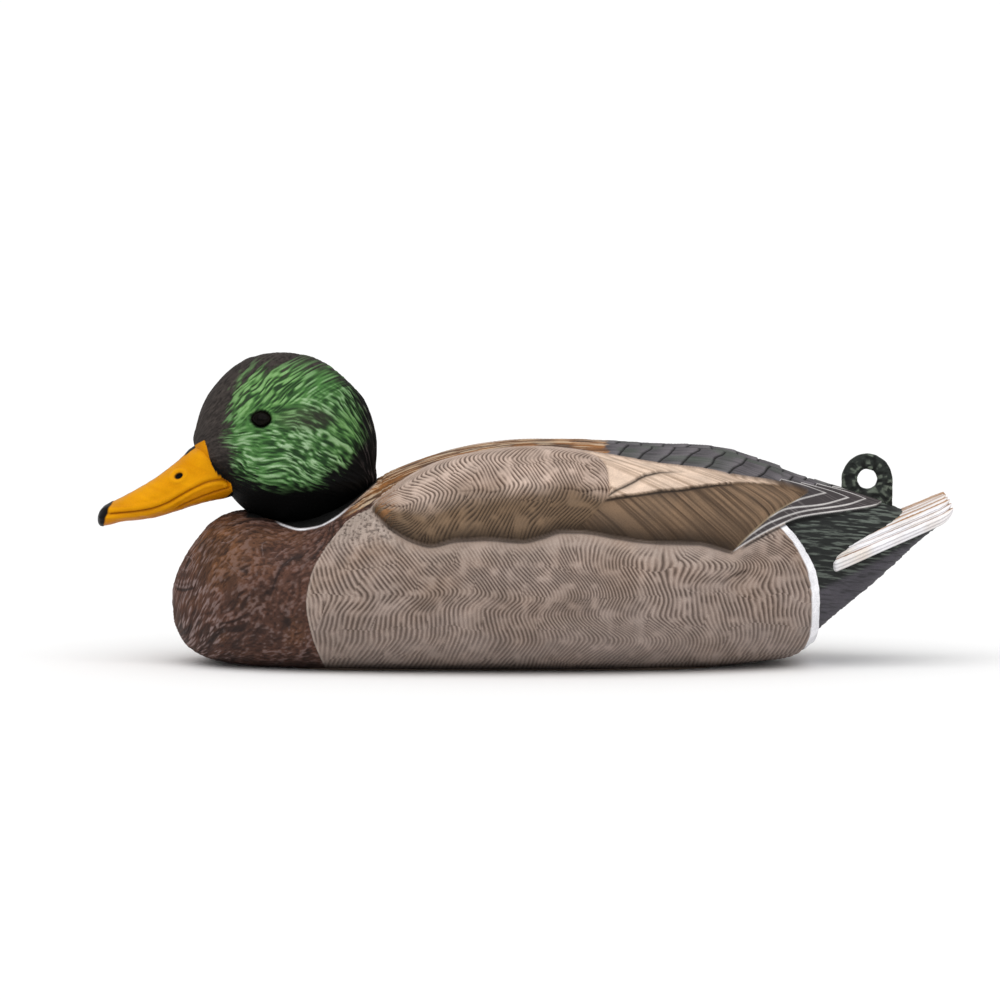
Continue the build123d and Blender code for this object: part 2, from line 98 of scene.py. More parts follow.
def ease(distance, width):
    """0 below zero, 1 above width, smooth between."""
    t = np.clip(distance / width, 0, 1)
    return t * t * (3 - 2 * t)


def bump(distance, width):
    """1 at zero distance, falling smoothly to 0 at width either side."""
    return 1 - ease(np.abs(distance), width)


def rounded(distance, width):
    """A quarter-round edge: 0 at zero, 1 at width and beyond."""
    t = np.clip(distance / width, 0, 1)
    return np.sqrt(1 - (1 - t) ** 2)


def noise(u, v, seed):
    """Smooth noise from -1 to 1 with one cell per unit, which repeats after NOISE_CELLS cells."""
    lattice = np.random.default_rng(seed).uniform(-1, 1, (NOISE_CELLS, NOISE_CELLS)).astype(np.float32)
    i, j = np.floor(u).astype(int), np.floor(v).astype(int)
    fu, fv = u - i, v - j
    fu, fv = fu * fu * (3 - 2 * fu), fv * fv * (3 - 2 * fv)
    i0, i1, j0, j1 = [place % NOISE_CELLS for place in (i, i + 1, j, j + 1)]
    near = lattice[i0, j0] * (1 - fv) + lattice[i0, j1] * fv
    far = lattice[i1, j0] * (1 - fv) + lattice[i1, j1] * fv
    return near * (1 - fu) + far * fu


def rough_noise(u, v, seed, octaves=3):
    """Several sizes of noise added together."""
    total = sum(noise(u * 2**k, v * 2**k, seed + k) / 2**k for k in range(octaves))
    return total / sum(1 / 2**k for k in range(octaves))


def cells(u, v, seed):
    """For a brick pattern of unit cells: each cell's random value, and the place up and down in the cell."""
    lattice = np.random.default_rng(seed).uniform(-1, 1, (NOISE_CELLS, NOISE_CELLS))
    j = np.floor(v).astype(int)
    i = np.floor(u + 0.5 * (j % 2)).astype(int)
    return lattice[i % NOISE_CELLS, j % NOISE_CELLS], v - j - 0.5


def squared_off(share, power):
    """A sine or cosine of a turn, reshaped so that it draws a squarer oval than a circle (power above 2)."""
    return np.sign(share) * np.abs(share) ** (2 / power)


def rows_through(stations, spread, step):
    """Rows every step along a smooth path through stations that lie spread apart."""
    knots = np.concatenate([[0], np.cumsum(spread)])
    return smooth(np.linspace(0, knots[-1], int(knots[-1] / step)), knots, stations)


def rgb(red, green, blue):
    """A paint's colour as light values, from its 0 to 255 numbers."""
    share = np.array([red, green, blue], float) / 255
    return np.where(share <= 0.04045, share / 12.92, ((share + 0.055) / 1.055) ** 2.4)


def lay(paint, colour, mask):
    """Lays a colour, or an array of them, over a paint layer where the mask is 1."""
    mask = np.clip(mask, 0, 1)[..., None]
    return paint * (1 - mask) + colour * mask


# ---- Meshes from grids ----


def outward_normals(points):
    """Unit normals of a grid whose columns run round and close, facing away from the grid's middle."""
    across = np.roll(points, -1, axis=1) - np.roll(points, 1, axis=1)
    normals = np.cross(across, np.gradient(points, axis=0))
    length = np.linalg.norm(normals, axis=2, keepdims=True)
    normals = normals / np.maximum(length, 1e-9)
    middle = points.reshape(-1, 3).mean(axis=0)
    facing = np.sum(normals * (points - middle), axis=2).mean()
    return normals if facing > 0 else -normals


def grid_faces(points, join_rows=False):
    """Corner numbers of each face of a closed grid, in the order that faces away from the grid's middle."""
    rows, columns = points.shape[:2]
    i, j = np.meshgrid(np.arange(rows - 1), np.arange(columns), indexing="ij")
    after = (j + 1) % columns
    row, next_row = i * columns, (i + 1) * columns
    faces = np.stack([row + j, row + after, next_row + after, next_row + j], -1)
    if join_rows:
        top_row = np.arange(columns)
        end_row = (rows - 1) * columns + top_row
        ring = np.stack([end_row, np.roll(end_row, -1), np.roll(top_row, -1), top_row], -1)
        faces = np.concatenate([faces.reshape(-1, 4), ring])
    flat = points.reshape(-1, 3)
    first, second, third = [flat[faces[..., corner]] for corner in range(3)]
    facing = np.sum(np.cross(second - first, third - first) * (first - flat.mean(axis=0)))
    return faces if facing > 0 else faces[..., ::-1]


def make_mesh(name, points, faces, material, body, normals=None, paint=None):
    """A smooth-shaded object from points in millimetres and four-cornered faces, riding on a body."""
    used, faces = np.unique(faces.reshape(-1), return_inverse=True)
    points = points.reshape(-1, 3)[used] * MM
    mesh = bpy.data.meshes.new(name)
    count = len(faces) // 4
    mesh.vertices.add(len(points))
    mesh.vertices.foreach_set("co", points.ravel().astype(np.float32))
    mesh.loops.add(len(faces))
    mesh.loops.foreach_set("vertex_index", faces.ravel().astype(np.int32))
    mesh.polygons.add(count)
    mesh.polygons.foreach_set("loop_start", np.arange(count, dtype=np.int32) * 4)
    mesh.polygons.foreach_set("use_smooth", np.ones(count, dtype=bool))
    mesh.update(calc_edges=True)
    if paint is not None:
        layer = mesh.attributes.new("paint", "FLOAT_COLOR", "POINT")
        colours = np.ones((len(used), 4), np.float32)
        colours[:, :3] = paint.reshape(-1, 3)[used]
        layer.data.foreach_set("color", colours.ravel())
    if normals is not None:
        mesh.normals_split_custom_set_from_vertices(normals.reshape(-1, 3)[used].tolist())
    mesh.materials.append(material)
    piece = bpy.data.objects.new(name, mesh)
    bpy.context.scene.collection.objects.link(piece)
    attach(piece, body)
    return piece


def skin(name, points, paint, material, body, node, join_rows=False):
    """A whole painted grid as one object, its columns closed round, that stands for a CAD node."""
    piece = make_mesh(name, points, grid_faces(points, join_rows), material, body, paint=paint)
    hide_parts(node)


# ---- Materials ----


def node_material(name):
    """A new material with its node tree and its Principled shader."""
    material = bpy.data.materials.new(name)
    material.use_nodes = True
    return material, material.node_tree, material.node_tree.nodes["Principled BSDF"]


def add_node(tree, kind, **settings):
    """A node with its properties and its unlinked inputs set by name."""
    node = tree.nodes.new(kind)
    for key, value in settings.items():
        if hasattr(node, key):
            setattr(node, key, value)
        else:
            node.inputs[key.replace("_", " ").title()].default_value = value
    return node


def object_noise(tree, scale, detail=3, stretch=(1, 1, 1)):
    """Noise fixed to the object, in cells per metre, stretched by direction."""
    place = add_node(tree, "ShaderNodeTexCoord")
    mapping = add_node(tree, "ShaderNodeMapping")
    mapping.inputs["Scale"].default_value = stretch
    texture = add_node(tree, "ShaderNodeTexNoise", scale=scale, detail=detail, roughness=0.6)
    tree.links.new(place.outputs["Object"], mapping.inputs["Vector"])
    tree.links.new(mapping.outputs["Vector"], texture.inputs["Vector"])
    return texture.outputs["Fac"]


def ramp(tree, source, low, high, start=0.3, end=0.7):
    """A grey or coloured ramp between two ends."""
    node = add_node(tree, "ShaderNodeValToRGB")
    node.color_ramp.elements[0].position = start
    node.color_ramp.elements[1].position = end
    node.color_ramp.elements[0].color = (*low, 1)
    node.color_ramp.elements[1].color = (*high, 1)
    tree.links.new(source, node.inputs["Fac"])
    return node.outputs["Color"]


def multiply(tree, first, second):
    """One colour times another."""
    mix = add_node(tree, "ShaderNodeMix", data_type="RGBA", blend_type="MULTIPLY")
    mix.inputs[0].default_value = 1
    tree.links.new(first, mix.inputs[6])
    tree.links.new(second, mix.inputs[7])
    return mix.outputs[2]


def add_bump(tree, shader, source, strength, depth):
    """Fine relief on a shader, its depth in metres."""
    node = add_node(tree, "ShaderNodeBump")
    node.inputs["Strength"].default_value = strength
    node.inputs["Distance"].default_value = depth
    tree.links.new(source, node.inputs["Height"])
    tree.links.new(node.outputs["Normal"], shader.inputs["Normal"])


def painted_plastic(name, roughness=(0.6, 0.85), speckle=0.16, grain=2200, depth=0.00006, gloss=0.2):
    """Paint from the mesh's own layer on moulded plastic, with brushed unevenness and a fine grain."""
    material, tree, shader = node_material(name)
    layer = add_node(tree, "ShaderNodeAttribute", attribute_name="paint")
    cloud = object_noise(tree, 90, 4)
    fine = object_noise(tree, grain, 2)
    light, dark = (1.0 + speckle,) * 3, (1.0 - speckle,) * 3
    colour = multiply(tree, layer.outputs["Color"], ramp(tree, cloud, dark, light))
    colour = multiply(tree, colour, ramp(tree, fine, dark, light))
    tree.links.new(colour, shader.inputs["Base Color"])
    tree.links.new(ramp(tree, cloud, (roughness[0],) * 3, (roughness[1],) * 3), shader.inputs["Roughness"])
    shader.inputs["Specular IOR Level"].default_value = gloss
    add_bump(tree, shader, fine, 0.5, depth)
    return material


def plain_finish(name, tones, roughness, metallic, grain, stretch):
    """A moulded, cast or machined finish whose colour varies between two tones."""
    material, tree, shader = node_material(name)
    source = object_noise(tree, grain, 4, stretch)
    tree.links.new(ramp(tree, source, *tones), shader.inputs["Base Color"])
    rough_low, rough_high = (roughness * 0.85,) * 3, (min(1, roughness * 1.15),) * 3
    tree.links.new(ramp(tree, source, rough_low, rough_high), shader.inputs["Roughness"])
    shader.inputs["Metallic"].default_value = metallic
    add_bump(tree, shader, source, 0.4, 0.00004)
    return material


# ---- Body form ----

# Stations from breast to rump: x, half width, top, bottom, height of the widest point
BODY_STATIONS = (
    (-167.7, 0.6, 29.6, 28.4, 29.0),
    (-166.8, 9.0, 38.0, 20.0, 29.0),
    (-163.5, 20.0, 46.5, 12.0, 30.0),
    (-157.0, 33.0, 57.0, 5.5, 31.5),
    (-147.0, 46.0, 68.0, 1.5, 33.5),
    (-132.0, 57.0, 72.5, -0.5, 35.5),
    (-112.0, 66.0, 69.5, -2.0, 37.0),
    (-90.0, 73.0, 75.5, -3.0, 38.5),
    (-70.0, 77.5, 87.5, -3.0, 39.5),
    (-45.0, 81.5, 98.0, -3.0, 40.5),
    (-10.0, 84.0, 105.0, -3.0, 41.5),
    (25.0, 83.5, 106.0, -3.0, 42.5),
    (60.0, 79.0, 104.0, -2.5, 43.5),
    (90.0, 72.0, 102.5, -1.0, 44.0),
    (112.0, 63.0, 97.5, 1.5, 44.5),
    (128.0, 52.5, 91.5, 4.5, 46.0),
    (138.0, 43.0, 87.5, 11.5, 49.0),
    (148.0, 34.5, 83.5, 21.5, 53.5),
    (162.0, 28.0, 79.0, 34.0, 58.5),
    (177.0, 23.5, 74.0, 48.0, 62.5),
    (188.0, 18.5, 70.0, 58.5, 65.0),
    (195.0, 14.0, 70.0, 64.0, 67.5),
    (197.6, 6.0, 70.0, 66.5, 68.5),
    (198.0, 0.6, 69.0, 68.2, 68.6),
)
UPPER_POWER, LOWER_POWER = 2.15, 2.6
NECK_X, SEAT_Z, SEAT_RADIUS = -107.5, 104.5, 41.0
PLATE_CORNER = 30.0
HALF_GIRTH, FINE_SHARE, SECTION_TURNS = 235, 0.84, 260
# Lower edge of the black neck and its white ring: x, height in the side view
NECK_RING = (
    (-136, 72), (-126, 71.9), (-119, 71.4), (-115, 69.5), (-105.6, 67.2), (-97.7, 68.3), (-89.8, 72.3),
    (-82.7, 77.8), (-71.3, 87.9), (-66, 93),
)


def body_columns():
    """Shares of the way from the ridge to the middle of the bottom: fine on the side, coarse below."""
    fine = np.linspace(0, FINE_SHARE, int(HALF_GIRTH * FINE_SHARE / COLUMN_STEP))
    return np.concatenate([fine, np.linspace(FINE_SHARE, 1, 15)[1:]])


def half_sections(stations, shares):
    """Rows of points from the ridge down one side to the bottom, evenly spread: y, z and arc length."""
    x, half_width, top, bottom, widest = stations.T[..., None]
    turn = np.linspace(pi / 2, -pi / 2, SECTION_TURNS)
    across, rise = np.abs(np.cos(turn)), np.sin(turn)
    power = np.where(rise >= 0, UPPER_POWER, LOWER_POWER)
    y = half_width * squared_off(across, power)
    reach = np.where(rise >= 0, top - widest, widest - bottom)
    z = np.maximum(widest + reach * squared_off(rise, power), 0)
    steps = np.hypot(np.diff(y, axis=1), np.diff(z, axis=1))
    arc = np.concatenate([np.zeros((len(x), 1)), np.cumsum(steps, axis=1)], axis=1)
    place = arc[:, -1:] * shares
    rows = range(len(x))
    y = np.array([np.interp(place[i], arc[i], y[i]) for i in rows])
    z = np.array([np.interp(place[i], arc[i], z[i]) for i in rows])
    return y, z, place


def body_form():
    """The body's closed grid, with each point's arc from the ridge and its side (+1 right, -1 left)."""
    stations, shares = np.array(BODY_STATIONS), body_columns()
    spread = np.linalg.norm(np.diff(stations[:, :4] * (1, 1, 0.5, 0.5), axis=0), axis=1)
    rows = rows_through(stations, spread, ROW_STEP)
    y, z, arc = half_sections(rows, shares)
    last = len(shares) - 1
    order = np.concatenate([np.arange(last + 1), np.arange(last - 1, 0, -1)])
    side = np.concatenate([np.ones(last + 1), -np.ones(last - 1)])
    side[0] = side[last] = 1
    x = np.repeat(rows[:, :1], len(order), axis=1)
    points = np.stack([x, y[:, order] * side, z[:, order]], -1)
    return points, arc[:, order], np.broadcast_to(side, x.shape)


def seen_height(points):
    """The height at which each point shows in the side view."""
    return points[..., 2] * cos(VIEW_TILT) - np.abs(points[..., 1]) * sin(VIEW_TILT) + VIEW_RISE


def arc_where(values, arcs, wanted):
    """For each row, the arc at which a falling value reaches the wanted one."""
    return np.array([np.interp(-w, -v, a) for w, v, a in zip(wanted, values, arcs)])[:, None]


# ---- Drawn edges of the body's paint and relief: x, height in the side view ----

BREAST_EDGE = (
    (-94, 0), (-100.7, 19), (-102.8, 32), (-100.7, 45), (-94.8, 57), (-86, 68), (-77, 75), (-68, 80),
)
WING_LOW = (
    (-73, 76.5), (-63, 67.1), (-51.2, 60.7), (-43.9, 59.1), (-32, 61.6), (-18, 62.3), (-1, 61.2), (8, 63.2),
    (17, 65.8), (28, 65.5), (42, 63.3), (58, 60.9), (80, 60.4), (97, 56.0),
)
WING_REAR = ((97, 56.0), (106, 64.5), (117, 73.5), (127, 79.3), (133.2, 83.0))
# The wing's upper edge, seen from above: x, distance from the middle
WING_TOP_Y = (
    (-73, 44), (-65, 40), (-53, 31), (-38, 24), (-16, 22), (6, 23), (38, 33), (71, 40), (95, 41), (122, 32),
    (134, 27),
)
SCAPULAR_END = ((13, 60), (23.7, 66), (34.7, 74.8), (39.8, 82.4), (39, 91), (34.7, 99.5), (20, 107))
CREASE_HIGH = ((39, 80.8), (48, 85.6), (57.8, 90), (66, 92.2), (76, 94))
CREASE_LOW = (
    (35, 78.5), (43.3, 79.6), (60, 81.9), (76.4, 83.5), (93, 86.3), (106, 87.9), (120, 87.2), (133.2, 83),
)
# Primary feathers, the shortest first: tip, lower edge, upper edge
PRIMARIES = (
    (
        (142.8, 82.5),
        ((108, 67.0), (117, 74.2), (128, 79.1), (142.8, 82.5)),
        ((120, 89.5), (130, 86.9), (142.8, 82.5)),
    ),
    (
        (154.2, 80.5),
        ((104, 63.0), (112, 70.0), (123, 75.3), (140, 77.2), (154.2, 80.5)),
        ((130, 88.2), (145, 84), (154.2, 80.5)),
    ),
    (
        (162.4, 80.4),
        ((101, 60.0), (106, 64.0), (115, 69.3), (131, 74.4), (152, 77.2), (162.4, 80.4)),
        ((138, 88), (154, 83.6), (162.4, 80.4)),
    ),
    (
        (170.0, 80.6),
        (
            (97, 56.0), (106, 61.5), (117, 67.2), (130, 72.2), (153, 75.3), (166, 77.5), (169, 79),
            (170.0, 80.6),
        ),
        ((146, 87), (162, 83.6), (170.0, 80.6)),
    ),
)
BAND_FRONT = (
    (117.6, 69), (125, 60.5), (129.2, 54), (132.8, 46), (134.6, 34), (134.6, 22), (131.6, 9), (129, 2),
)
BAND_WIDTH = 4.8
FLANK_CREASE = ((90, 40), (94, 43.5), (99, 46), (105, 48))
# Rows of slanting lines: distance down from the top of the rows, sideways offset
FLANK_CEILING = 63.0
FLANK_TURNS = ((0, 0), (6, -0.5), (27, -17), (34, -12), (46, -14), (56, -10), (66, -4))
WING_TURNS = ((0, 0), (9.5, 9), (22, -4), (27, -2), (46, 15))
WING_ROWS = 44.0
FLANK_PITCH, WING_PITCH = 2.1, 1.95
RUMP_START_X = 37.5

FLANK_RIDGE, FLANK_GROOVE = rgb(156, 138, 128), rgb(66, 53, 46)
FLANK_WARM, FLANK_GREY, FLANK_PALE = rgb(142, 119, 103), rgb(127, 116, 112), rgb(176, 161, 151)
WING_RIDGE, WING_GROOVE = rgb(198, 176, 162), rgb(66, 47, 34)
WING_OLIVE = rgb(110, 88, 66)
TERTIAL_LIGHT, TERTIAL_DARK = rgb(216, 192, 172), rgb(142, 118, 98)
TERTIAL_TAN, TERTIAL_OLIVE = rgb(128, 104, 82), rgb(52, 38, 27)
TERTIAL_SHADE, TERTIAL_CREASE_SHADOW, TERTIAL_RIM = rgb(58, 44, 34), rgb(22, 15, 11), rgb(176, 158, 128)
WING_DEEP, WING_UNDERSIDE_SHADE, WING_SHADOW = rgb(34, 24, 16), rgb(40, 30, 21), rgb(34, 26, 20)
PRIMARY_VANE, PRIMARY_STREAK, PRIMARY_EDGE = rgb(62, 57, 58), rgb(116, 110, 110), rgb(226, 222, 220)
PRIMARY_SHADOW = rgb(14, 13, 13)
BREAST_BROWN, BREAST_GOLD = rgb(84, 56, 45), rgb(112, 74, 44)
BREAST_LILAC, BREAST_DARK = rgb(154, 134, 131), rgb(34, 23, 21)
BACK_GOLD, BACK_BROWN, BACK_PALE = rgb(150, 100, 54), rgb(84, 60, 44), rgb(206, 182, 154)
RUMP_DARK, RUMP_LIGHT, RUMP_CREASE_SHADE = rgb(58, 55, 58), rgb(108, 103, 107), rgb(16, 16, 16)
RUMP_GREEN = rgb(66, 78, 64)
SIDE_BLACK, SIDE_PALE, TAIL_SLATE = rgb(34, 36, 35), rgb(112, 120, 112), rgb(76, 73, 79)
WHITE = rgb(240, 239, 243)
COLLAR_BLACK, SEAT_BLACK = rgb(8, 8, 8), rgb(10, 10, 10)
BREAST_FAN, BREAST_GLOW = (-88, 77), (-146, 60)
SCALE_LENGTH, SCALE_ROW = 11.2, 12


def zigzag(place, turns):
    """Sideways offset drawn as straight runs between turning points, slightly rounded."""
    places, offsets = zip(*turns)
    around = [np.interp(place + shift, places, offsets) for shift in (-0.9, 0, 0.9)]
    return sum(around) / 3


def wavy_lines(x, place, shift, slant, sway, pitch, seed):
    """Fine wavy lines with a sideways slant, broken into feather-sized patches: depth from 0 to 1."""
    wander = sway * noise(x / 48 + shift, place / 12, seed + 2)
    wander = wander + 0.4 * noise(x / 8 + shift, place / 6, seed + 3)
    warp = 3 * noise(x / 12 + shift, place / 12, seed + 4)
    patch, up = cells((x + shift + warp + 0.5 * place) / 26, (place + warp) / 14, seed + 5)
    phase = (x + slant + wander + 4.0 * patch * up) / pitch + 0.4 * patch
    wave = 0.5 + 0.5 * np.cos(2 * pi * phase)
    strength = np.clip(0.9 + 0.9 * noise(x / 3.6 + shift, place / 3.2, seed + 6), 0.12, 1)
    return np.clip(wave**1.5 * strength, 0, 1)


def row_arc(at, curve):
    """Arc from the ridge at which each row crosses a drawn curve."""
    return arc_where(at.falling, at.side_arc, along(curve, at.rows_x))


def body_places(points, arc, side):
    """Where each point lies: its height in the side view and its distances from the drawn edges."""
    x = points[..., 0]
    at = SimpleNamespace(x=x, z=points[..., 2], arc=arc, shift=np.where(side > 0, 300.0, 0.0))
    width = np.abs(points[..., 1])
    at.height = seen_height(points)
    half = x.shape[1] // 2 + 1
    at.rows_x = x[:, 0]
    at.side_arc = arc[:, :half]
    at.falling = np.minimum.accumulate(at.height[:, :half], axis=1)
    wing_low = row_arc(at, WING_LOW)
    wing_low = np.where(at.rows_x[:, None] > WING_LOW[-1][0], row_arc(at, WING_REAR), wing_low)
    widest = np.maximum.accumulate(width[:, :half], axis=1)
    at.wing_top = arc_where(-widest, at.side_arc, -along(WING_TOP_Y, at.rows_x))
    at.from_top, at.from_low = arc - at.wing_top, wing_low - arc
    at.band_front = along(BAND_FRONT, at.height, axis=1)
    at.from_breast = x - along(BREAST_EDGE, at.height, axis=1)
    at.from_band = x - at.band_front - BAND_WIDTH
    at.below_primaries = arc - row_arc(at, PRIMARIES[-1][1])
    at.small = noise(x / 11 + at.shift, arc / 9, 12)
    at.patchy = rough_noise(x / 22 + at.shift, arc / 16, 13, 4)
    at.blank = np.ones(x.shape + (3,))
    return at


def carve_flank(at):
    """The pale brown side: relief, paint and where it lies."""
    x, height, below_wing = at.x, at.height, -at.from_low
    place = FLANK_CEILING - height
    row_wave = 3.0 * noise(x / 30 + at.shift, place / 40, 80) + 1.2 * noise(x / 12 + at.shift, place / 20, 81)
    turning = (0.4 + 0.6 * ease(at.from_breast, 56)) * (1 - 0.75 * ease(x + 5, 70))
    slant = turning * zigzag(place + row_wave, FLANK_TURNS)
    slant = slant + ease(x - 66, 45) * (134.6 - at.band_front)
    sway = 2.0 + 8.0 * ease(x, 45) * (1 - 0.5 * ease(x - 96, 24))
    lines = wavy_lines(x, place, at.shift, slant, sway, FLANK_PITCH, 80)
    speckled = ease(height - 54, 12) * (1 - ease(x + 66, 12))
    lines = lines * np.clip(ease(below_wing - 1.0, 7) + 0.1, 0, 1) * (1 - 0.75 * speckled)
    lines = lines * (0.62 + 0.38 * ease(height - 8 + 8 * at.patchy, 26))
    specks = ease(rough_noise(x / 0.9 + at.shift, height / 0.8, 86, 2) - 0.02, 0.4) * speckled
    crease = bump(height - along(FLANK_CREASE, x), 1.4) * ease(x - 90, 3) * ease(106 - x, 4)
    relief = 0.6 * rounded(at.from_breast, 2.5) + 0.9 * bump(below_wing - 16, 17) - 1.0 * bump(below_wing, 6)
    relief = relief + 0.2 * at.patchy - 0.62 * lines - 0.3 * specks - 0.7 * crease

    paint = lay(at.blank * FLANK_RIDGE, FLANK_WARM, 0.45 + 0.9 * at.patchy)
    paint = lay(paint, FLANK_GREY, ease(60 - height, 60) * 0.6)
    # Just under the wing's edge the pale is partly the flank's own pale paint and partly painted highlight on
    # its swelling; the speckled patch is its own pale paint.
    paint = lay(paint, FLANK_PALE, bump(below_wing - 6, 7) * 0.35 + 0.6 * speckled)
    # Painted highlight: the crests between the carved wavy lines are lightened.
    paint = lay(paint, FLANK_PALE, ease(0.2 - lines, 0.2) * 0.3)
    # The wavy lines are the flank's own dark paint; the short carved crease is darkened as painted shade.
    paint = lay(paint, FLANK_GROOVE, lines * 0.85 + 0.5 * crease + 0.6 * specks)
    # Painted highlight along the flank's raised front edge where it meets the breast.
    paint = lay(paint, FLANK_PALE, bump(at.from_breast - 1.0, 1.0) * 0.5)
    # Painted shade: the flank darkens towards the floor.
    paint = lay(paint, FLANK_GROOVE * 0.6, 0.7 * ease(7 - height, 7))
    mask = ease(at.from_breast, 0.8) * ease(-at.from_band, 0.8)
    return relief, paint, mask


def carve_breast(at):
    """Chiselled strokes that fan out from the neck, dry-brushed in gold and lilac over dark brown."""
    x, height = at.x, at.height
    fan_x, fan_height = BREAST_FAN
    fan = np.arctan2(height - fan_height, fan_x - x) + 0.16 * noise(x / 16 + at.shift, height / 16, 20)
    reach = np.hypot(height - fan_height, x - fan_x)
    fine = noise(fan * 34 + at.shift, reach / 6.5 + 2 * at.small, 21)
    broad = noise(fan * 13 + at.shift, reach / 17 + at.small, 22)
    chips = rough_noise(x / 1.7 + at.shift, at.arc / 1.3, 23, 2)
    ray = np.mod(fan * 6.5 + 0.25 * noise(fan * 5, reach / 9, 24), 1) - 0.5
    broken = ease(noise(fan * 6.5 + at.shift, reach / 11, 26) - 0.1, 0.3)
    hair = bump(ray, 0.035) * broken * ease(height - 34, 20)
    relief = 0.2 * fine + 0.2 * broad + 0.36 * chips + 0.2 * hair

    front = ease(-140 - x - 0.25 * (height - 40), 16)
    gold = np.clip(1.5 - np.hypot((x - BREAST_GLOW[0]) / 20, (height - BREAST_GLOW[1]) / 15), 0, 1)
    paint = lay(at.blank * BREAST_BROWN, BREAST_GOLD, 0.75 * gold + 0.35 * noise(x / 12 + 40, height / 8, 25))
    paint = lay(paint, BREAST_DARK, ease(-broad - 0.1, 0.5) * 0.45 + ease(-fine - 0.1, 0.5) * 0.4)
    grey_share = 0.2 + 0.4 * front + 0.15 * ease(46 - height, 40)
    paint = lay(paint, BREAST_LILAC, ease(chips + 0.4 * fine - 0.05, 0.6) * grey_share)
    paint = lay(paint, BREAST_LILAC, 0.4 * hair)
    paint = lay(paint, BREAST_DARK, ease(-chips - 0.05, 0.5) * 0.6)
    # Painted shade: the breast darkens towards the floor.
    paint = lay(paint, BREAST_DARK, ease(9 - height, 11) * 0.6)
    mask = (1 - ease(at.from_breast, 0.8)) * ease(100 - x, 1)
    return relief, paint, mask


def carve_back(at):
    """Gold-streaked feathers on the ridge, then the rump's slate scales."""
    x, arc = at.x, at.arc
    streak = noise(x / 9 + 3, arc / 1.5, 31)
    feathers = lay(at.blank * BACK_BROWN, BACK_GOLD, 0.5 + 0.9 * noise(x / 9, arc / 4, 32))
    feathers = lay(feathers, BACK_PALE, ease(streak - 0.05, 0.5) * 0.7)
    feathers = lay(feathers, BREAST_DARK, ease(-streak - 0.25, 0.4) * 0.5)
    row_shift = np.where(arc > SCALE_ROW, 5.5, 0)
    share = np.mod((x + 0.0062 * arc**2 + row_shift + 1.2 * at.small) / SCALE_LENGTH, 1)
    edge = bump(share - 1, 0.1) + bump(share, 0.07) + 0.4 * bump(arc - SCALE_ROW, 0.7)
    hairs = noise(x / 10, arc / 0.9, 36)
    scales = lay(at.blank * RUMP_DARK, RUMP_LIGHT, 0.3 + 0.45 * ease(share - 0.2, 0.7) + 0.35 * hairs)
    scales = lay(scales, RUMP_GREEN, ease(noise(x / 12, arc / 8, 34), 0.8) * 0.5)
    # Painted shade: near-black in the carved creases round each scale and along the seam between the rows.
    scales = lay(scales, RUMP_CREASE_SHADE, edge)
    is_rump = ease(x - RUMP_START_X - 3 * noise(x / 5, arc / 5, 35), 2)
    lowered = 0.5 + 0.9 * ease(x - 98, 12) * ease(140 - x, 10)
    rump_relief = 0.35 * (share - 1) - 0.55 * edge - lowered + 0.5
    relief = (1 - is_rump) * (0.25 * streak - 0.5) + is_rump * rump_relief
    mask = ease(-at.from_top, 1.0) * ease(x + 88, 10) * ease(151 - x, 3)
    return relief, lay(feathers, scales, is_rump), mask


def carve_rear(at):
    """The dark sides of the rump, and slate under the tail."""
    x, height = at.x, at.height
    behind = ease(at.from_band + 0.5, 1.0)
    under = ease(at.below_primaries, 1.0) * ease(170 - x, 1) + ease(x - 169, 2)
    mask = behind * np.clip(under + ease(x - 150, 3), 0, 1)
    grain = rough_noise(x / 5.5 + at.shift, (height + 0.1 * x) / 0.8, 41, 3)
    paint = lay(at.blank * SIDE_BLACK, SIDE_PALE, ease(grain + 0.05, 0.6) * 0.6)
    slate = lay(at.blank * TAIL_SLATE, SIDE_BLACK, ease(-grain, 0.6) * 0.6)
    paint = lay(paint, slate, ease(42.5 + 0.53 * (x - 146) - height, 4))
    drop = behind * np.exp(-np.maximum(at.from_band, 0) / 16) * ease(90 - height, 12)
    relief = 0.45 * grain - 2.6 * drop
    return relief, paint, mask


def carve_primaries(at, relief, paint):
    """Slate primary feathers with white edges, from the longest and lowest to the shortest and highest, and
    their painted shadow.
    """
    x, arc = at.x, at.arc
    streaks = noise(x / 18, arc / 0.9, 51)
    vane = lay(at.blank * PRIMARY_VANE, PRIMARY_STREAK, ease(streaks, 0.9) * 0.6)
    for number, (tip, lower, upper) in reversed(list(enumerate(PRIMARIES))):
        above, below = row_arc(at, lower) - arc, along(upper, x) - at.height
        beside_wing = x < upper[0][0]
        inside = np.minimum(above, np.where(beside_wing, at.from_top, below)) * ease(x - 96, 2)
        inside = np.where(x > tip[0], -1.0, inside)
        thickness = 1.0 + 0.5 * (3 - number)
        relief = np.where(inside > 0, np.maximum(relief, thickness * rounded(inside, 0.8)), relief)
        edge = np.where(beside_wing, above, inside)
        edged = lay(vane, PRIMARY_EDGE, bump(edge - 0.5, 0.62))
        paint = lay(paint, edged, ease(inside, 0.5))
    # Painted shadow: a black line on the body just under the lowest primary's edge.
    shadow_under_primaries = bump(at.below_primaries - 0.9, 1.3) * ease(x - 100, 4) * ease(171 - x, 2)
    return relief, lay(paint, PRIMARY_SHADOW, shadow_under_primaries * 0.9)


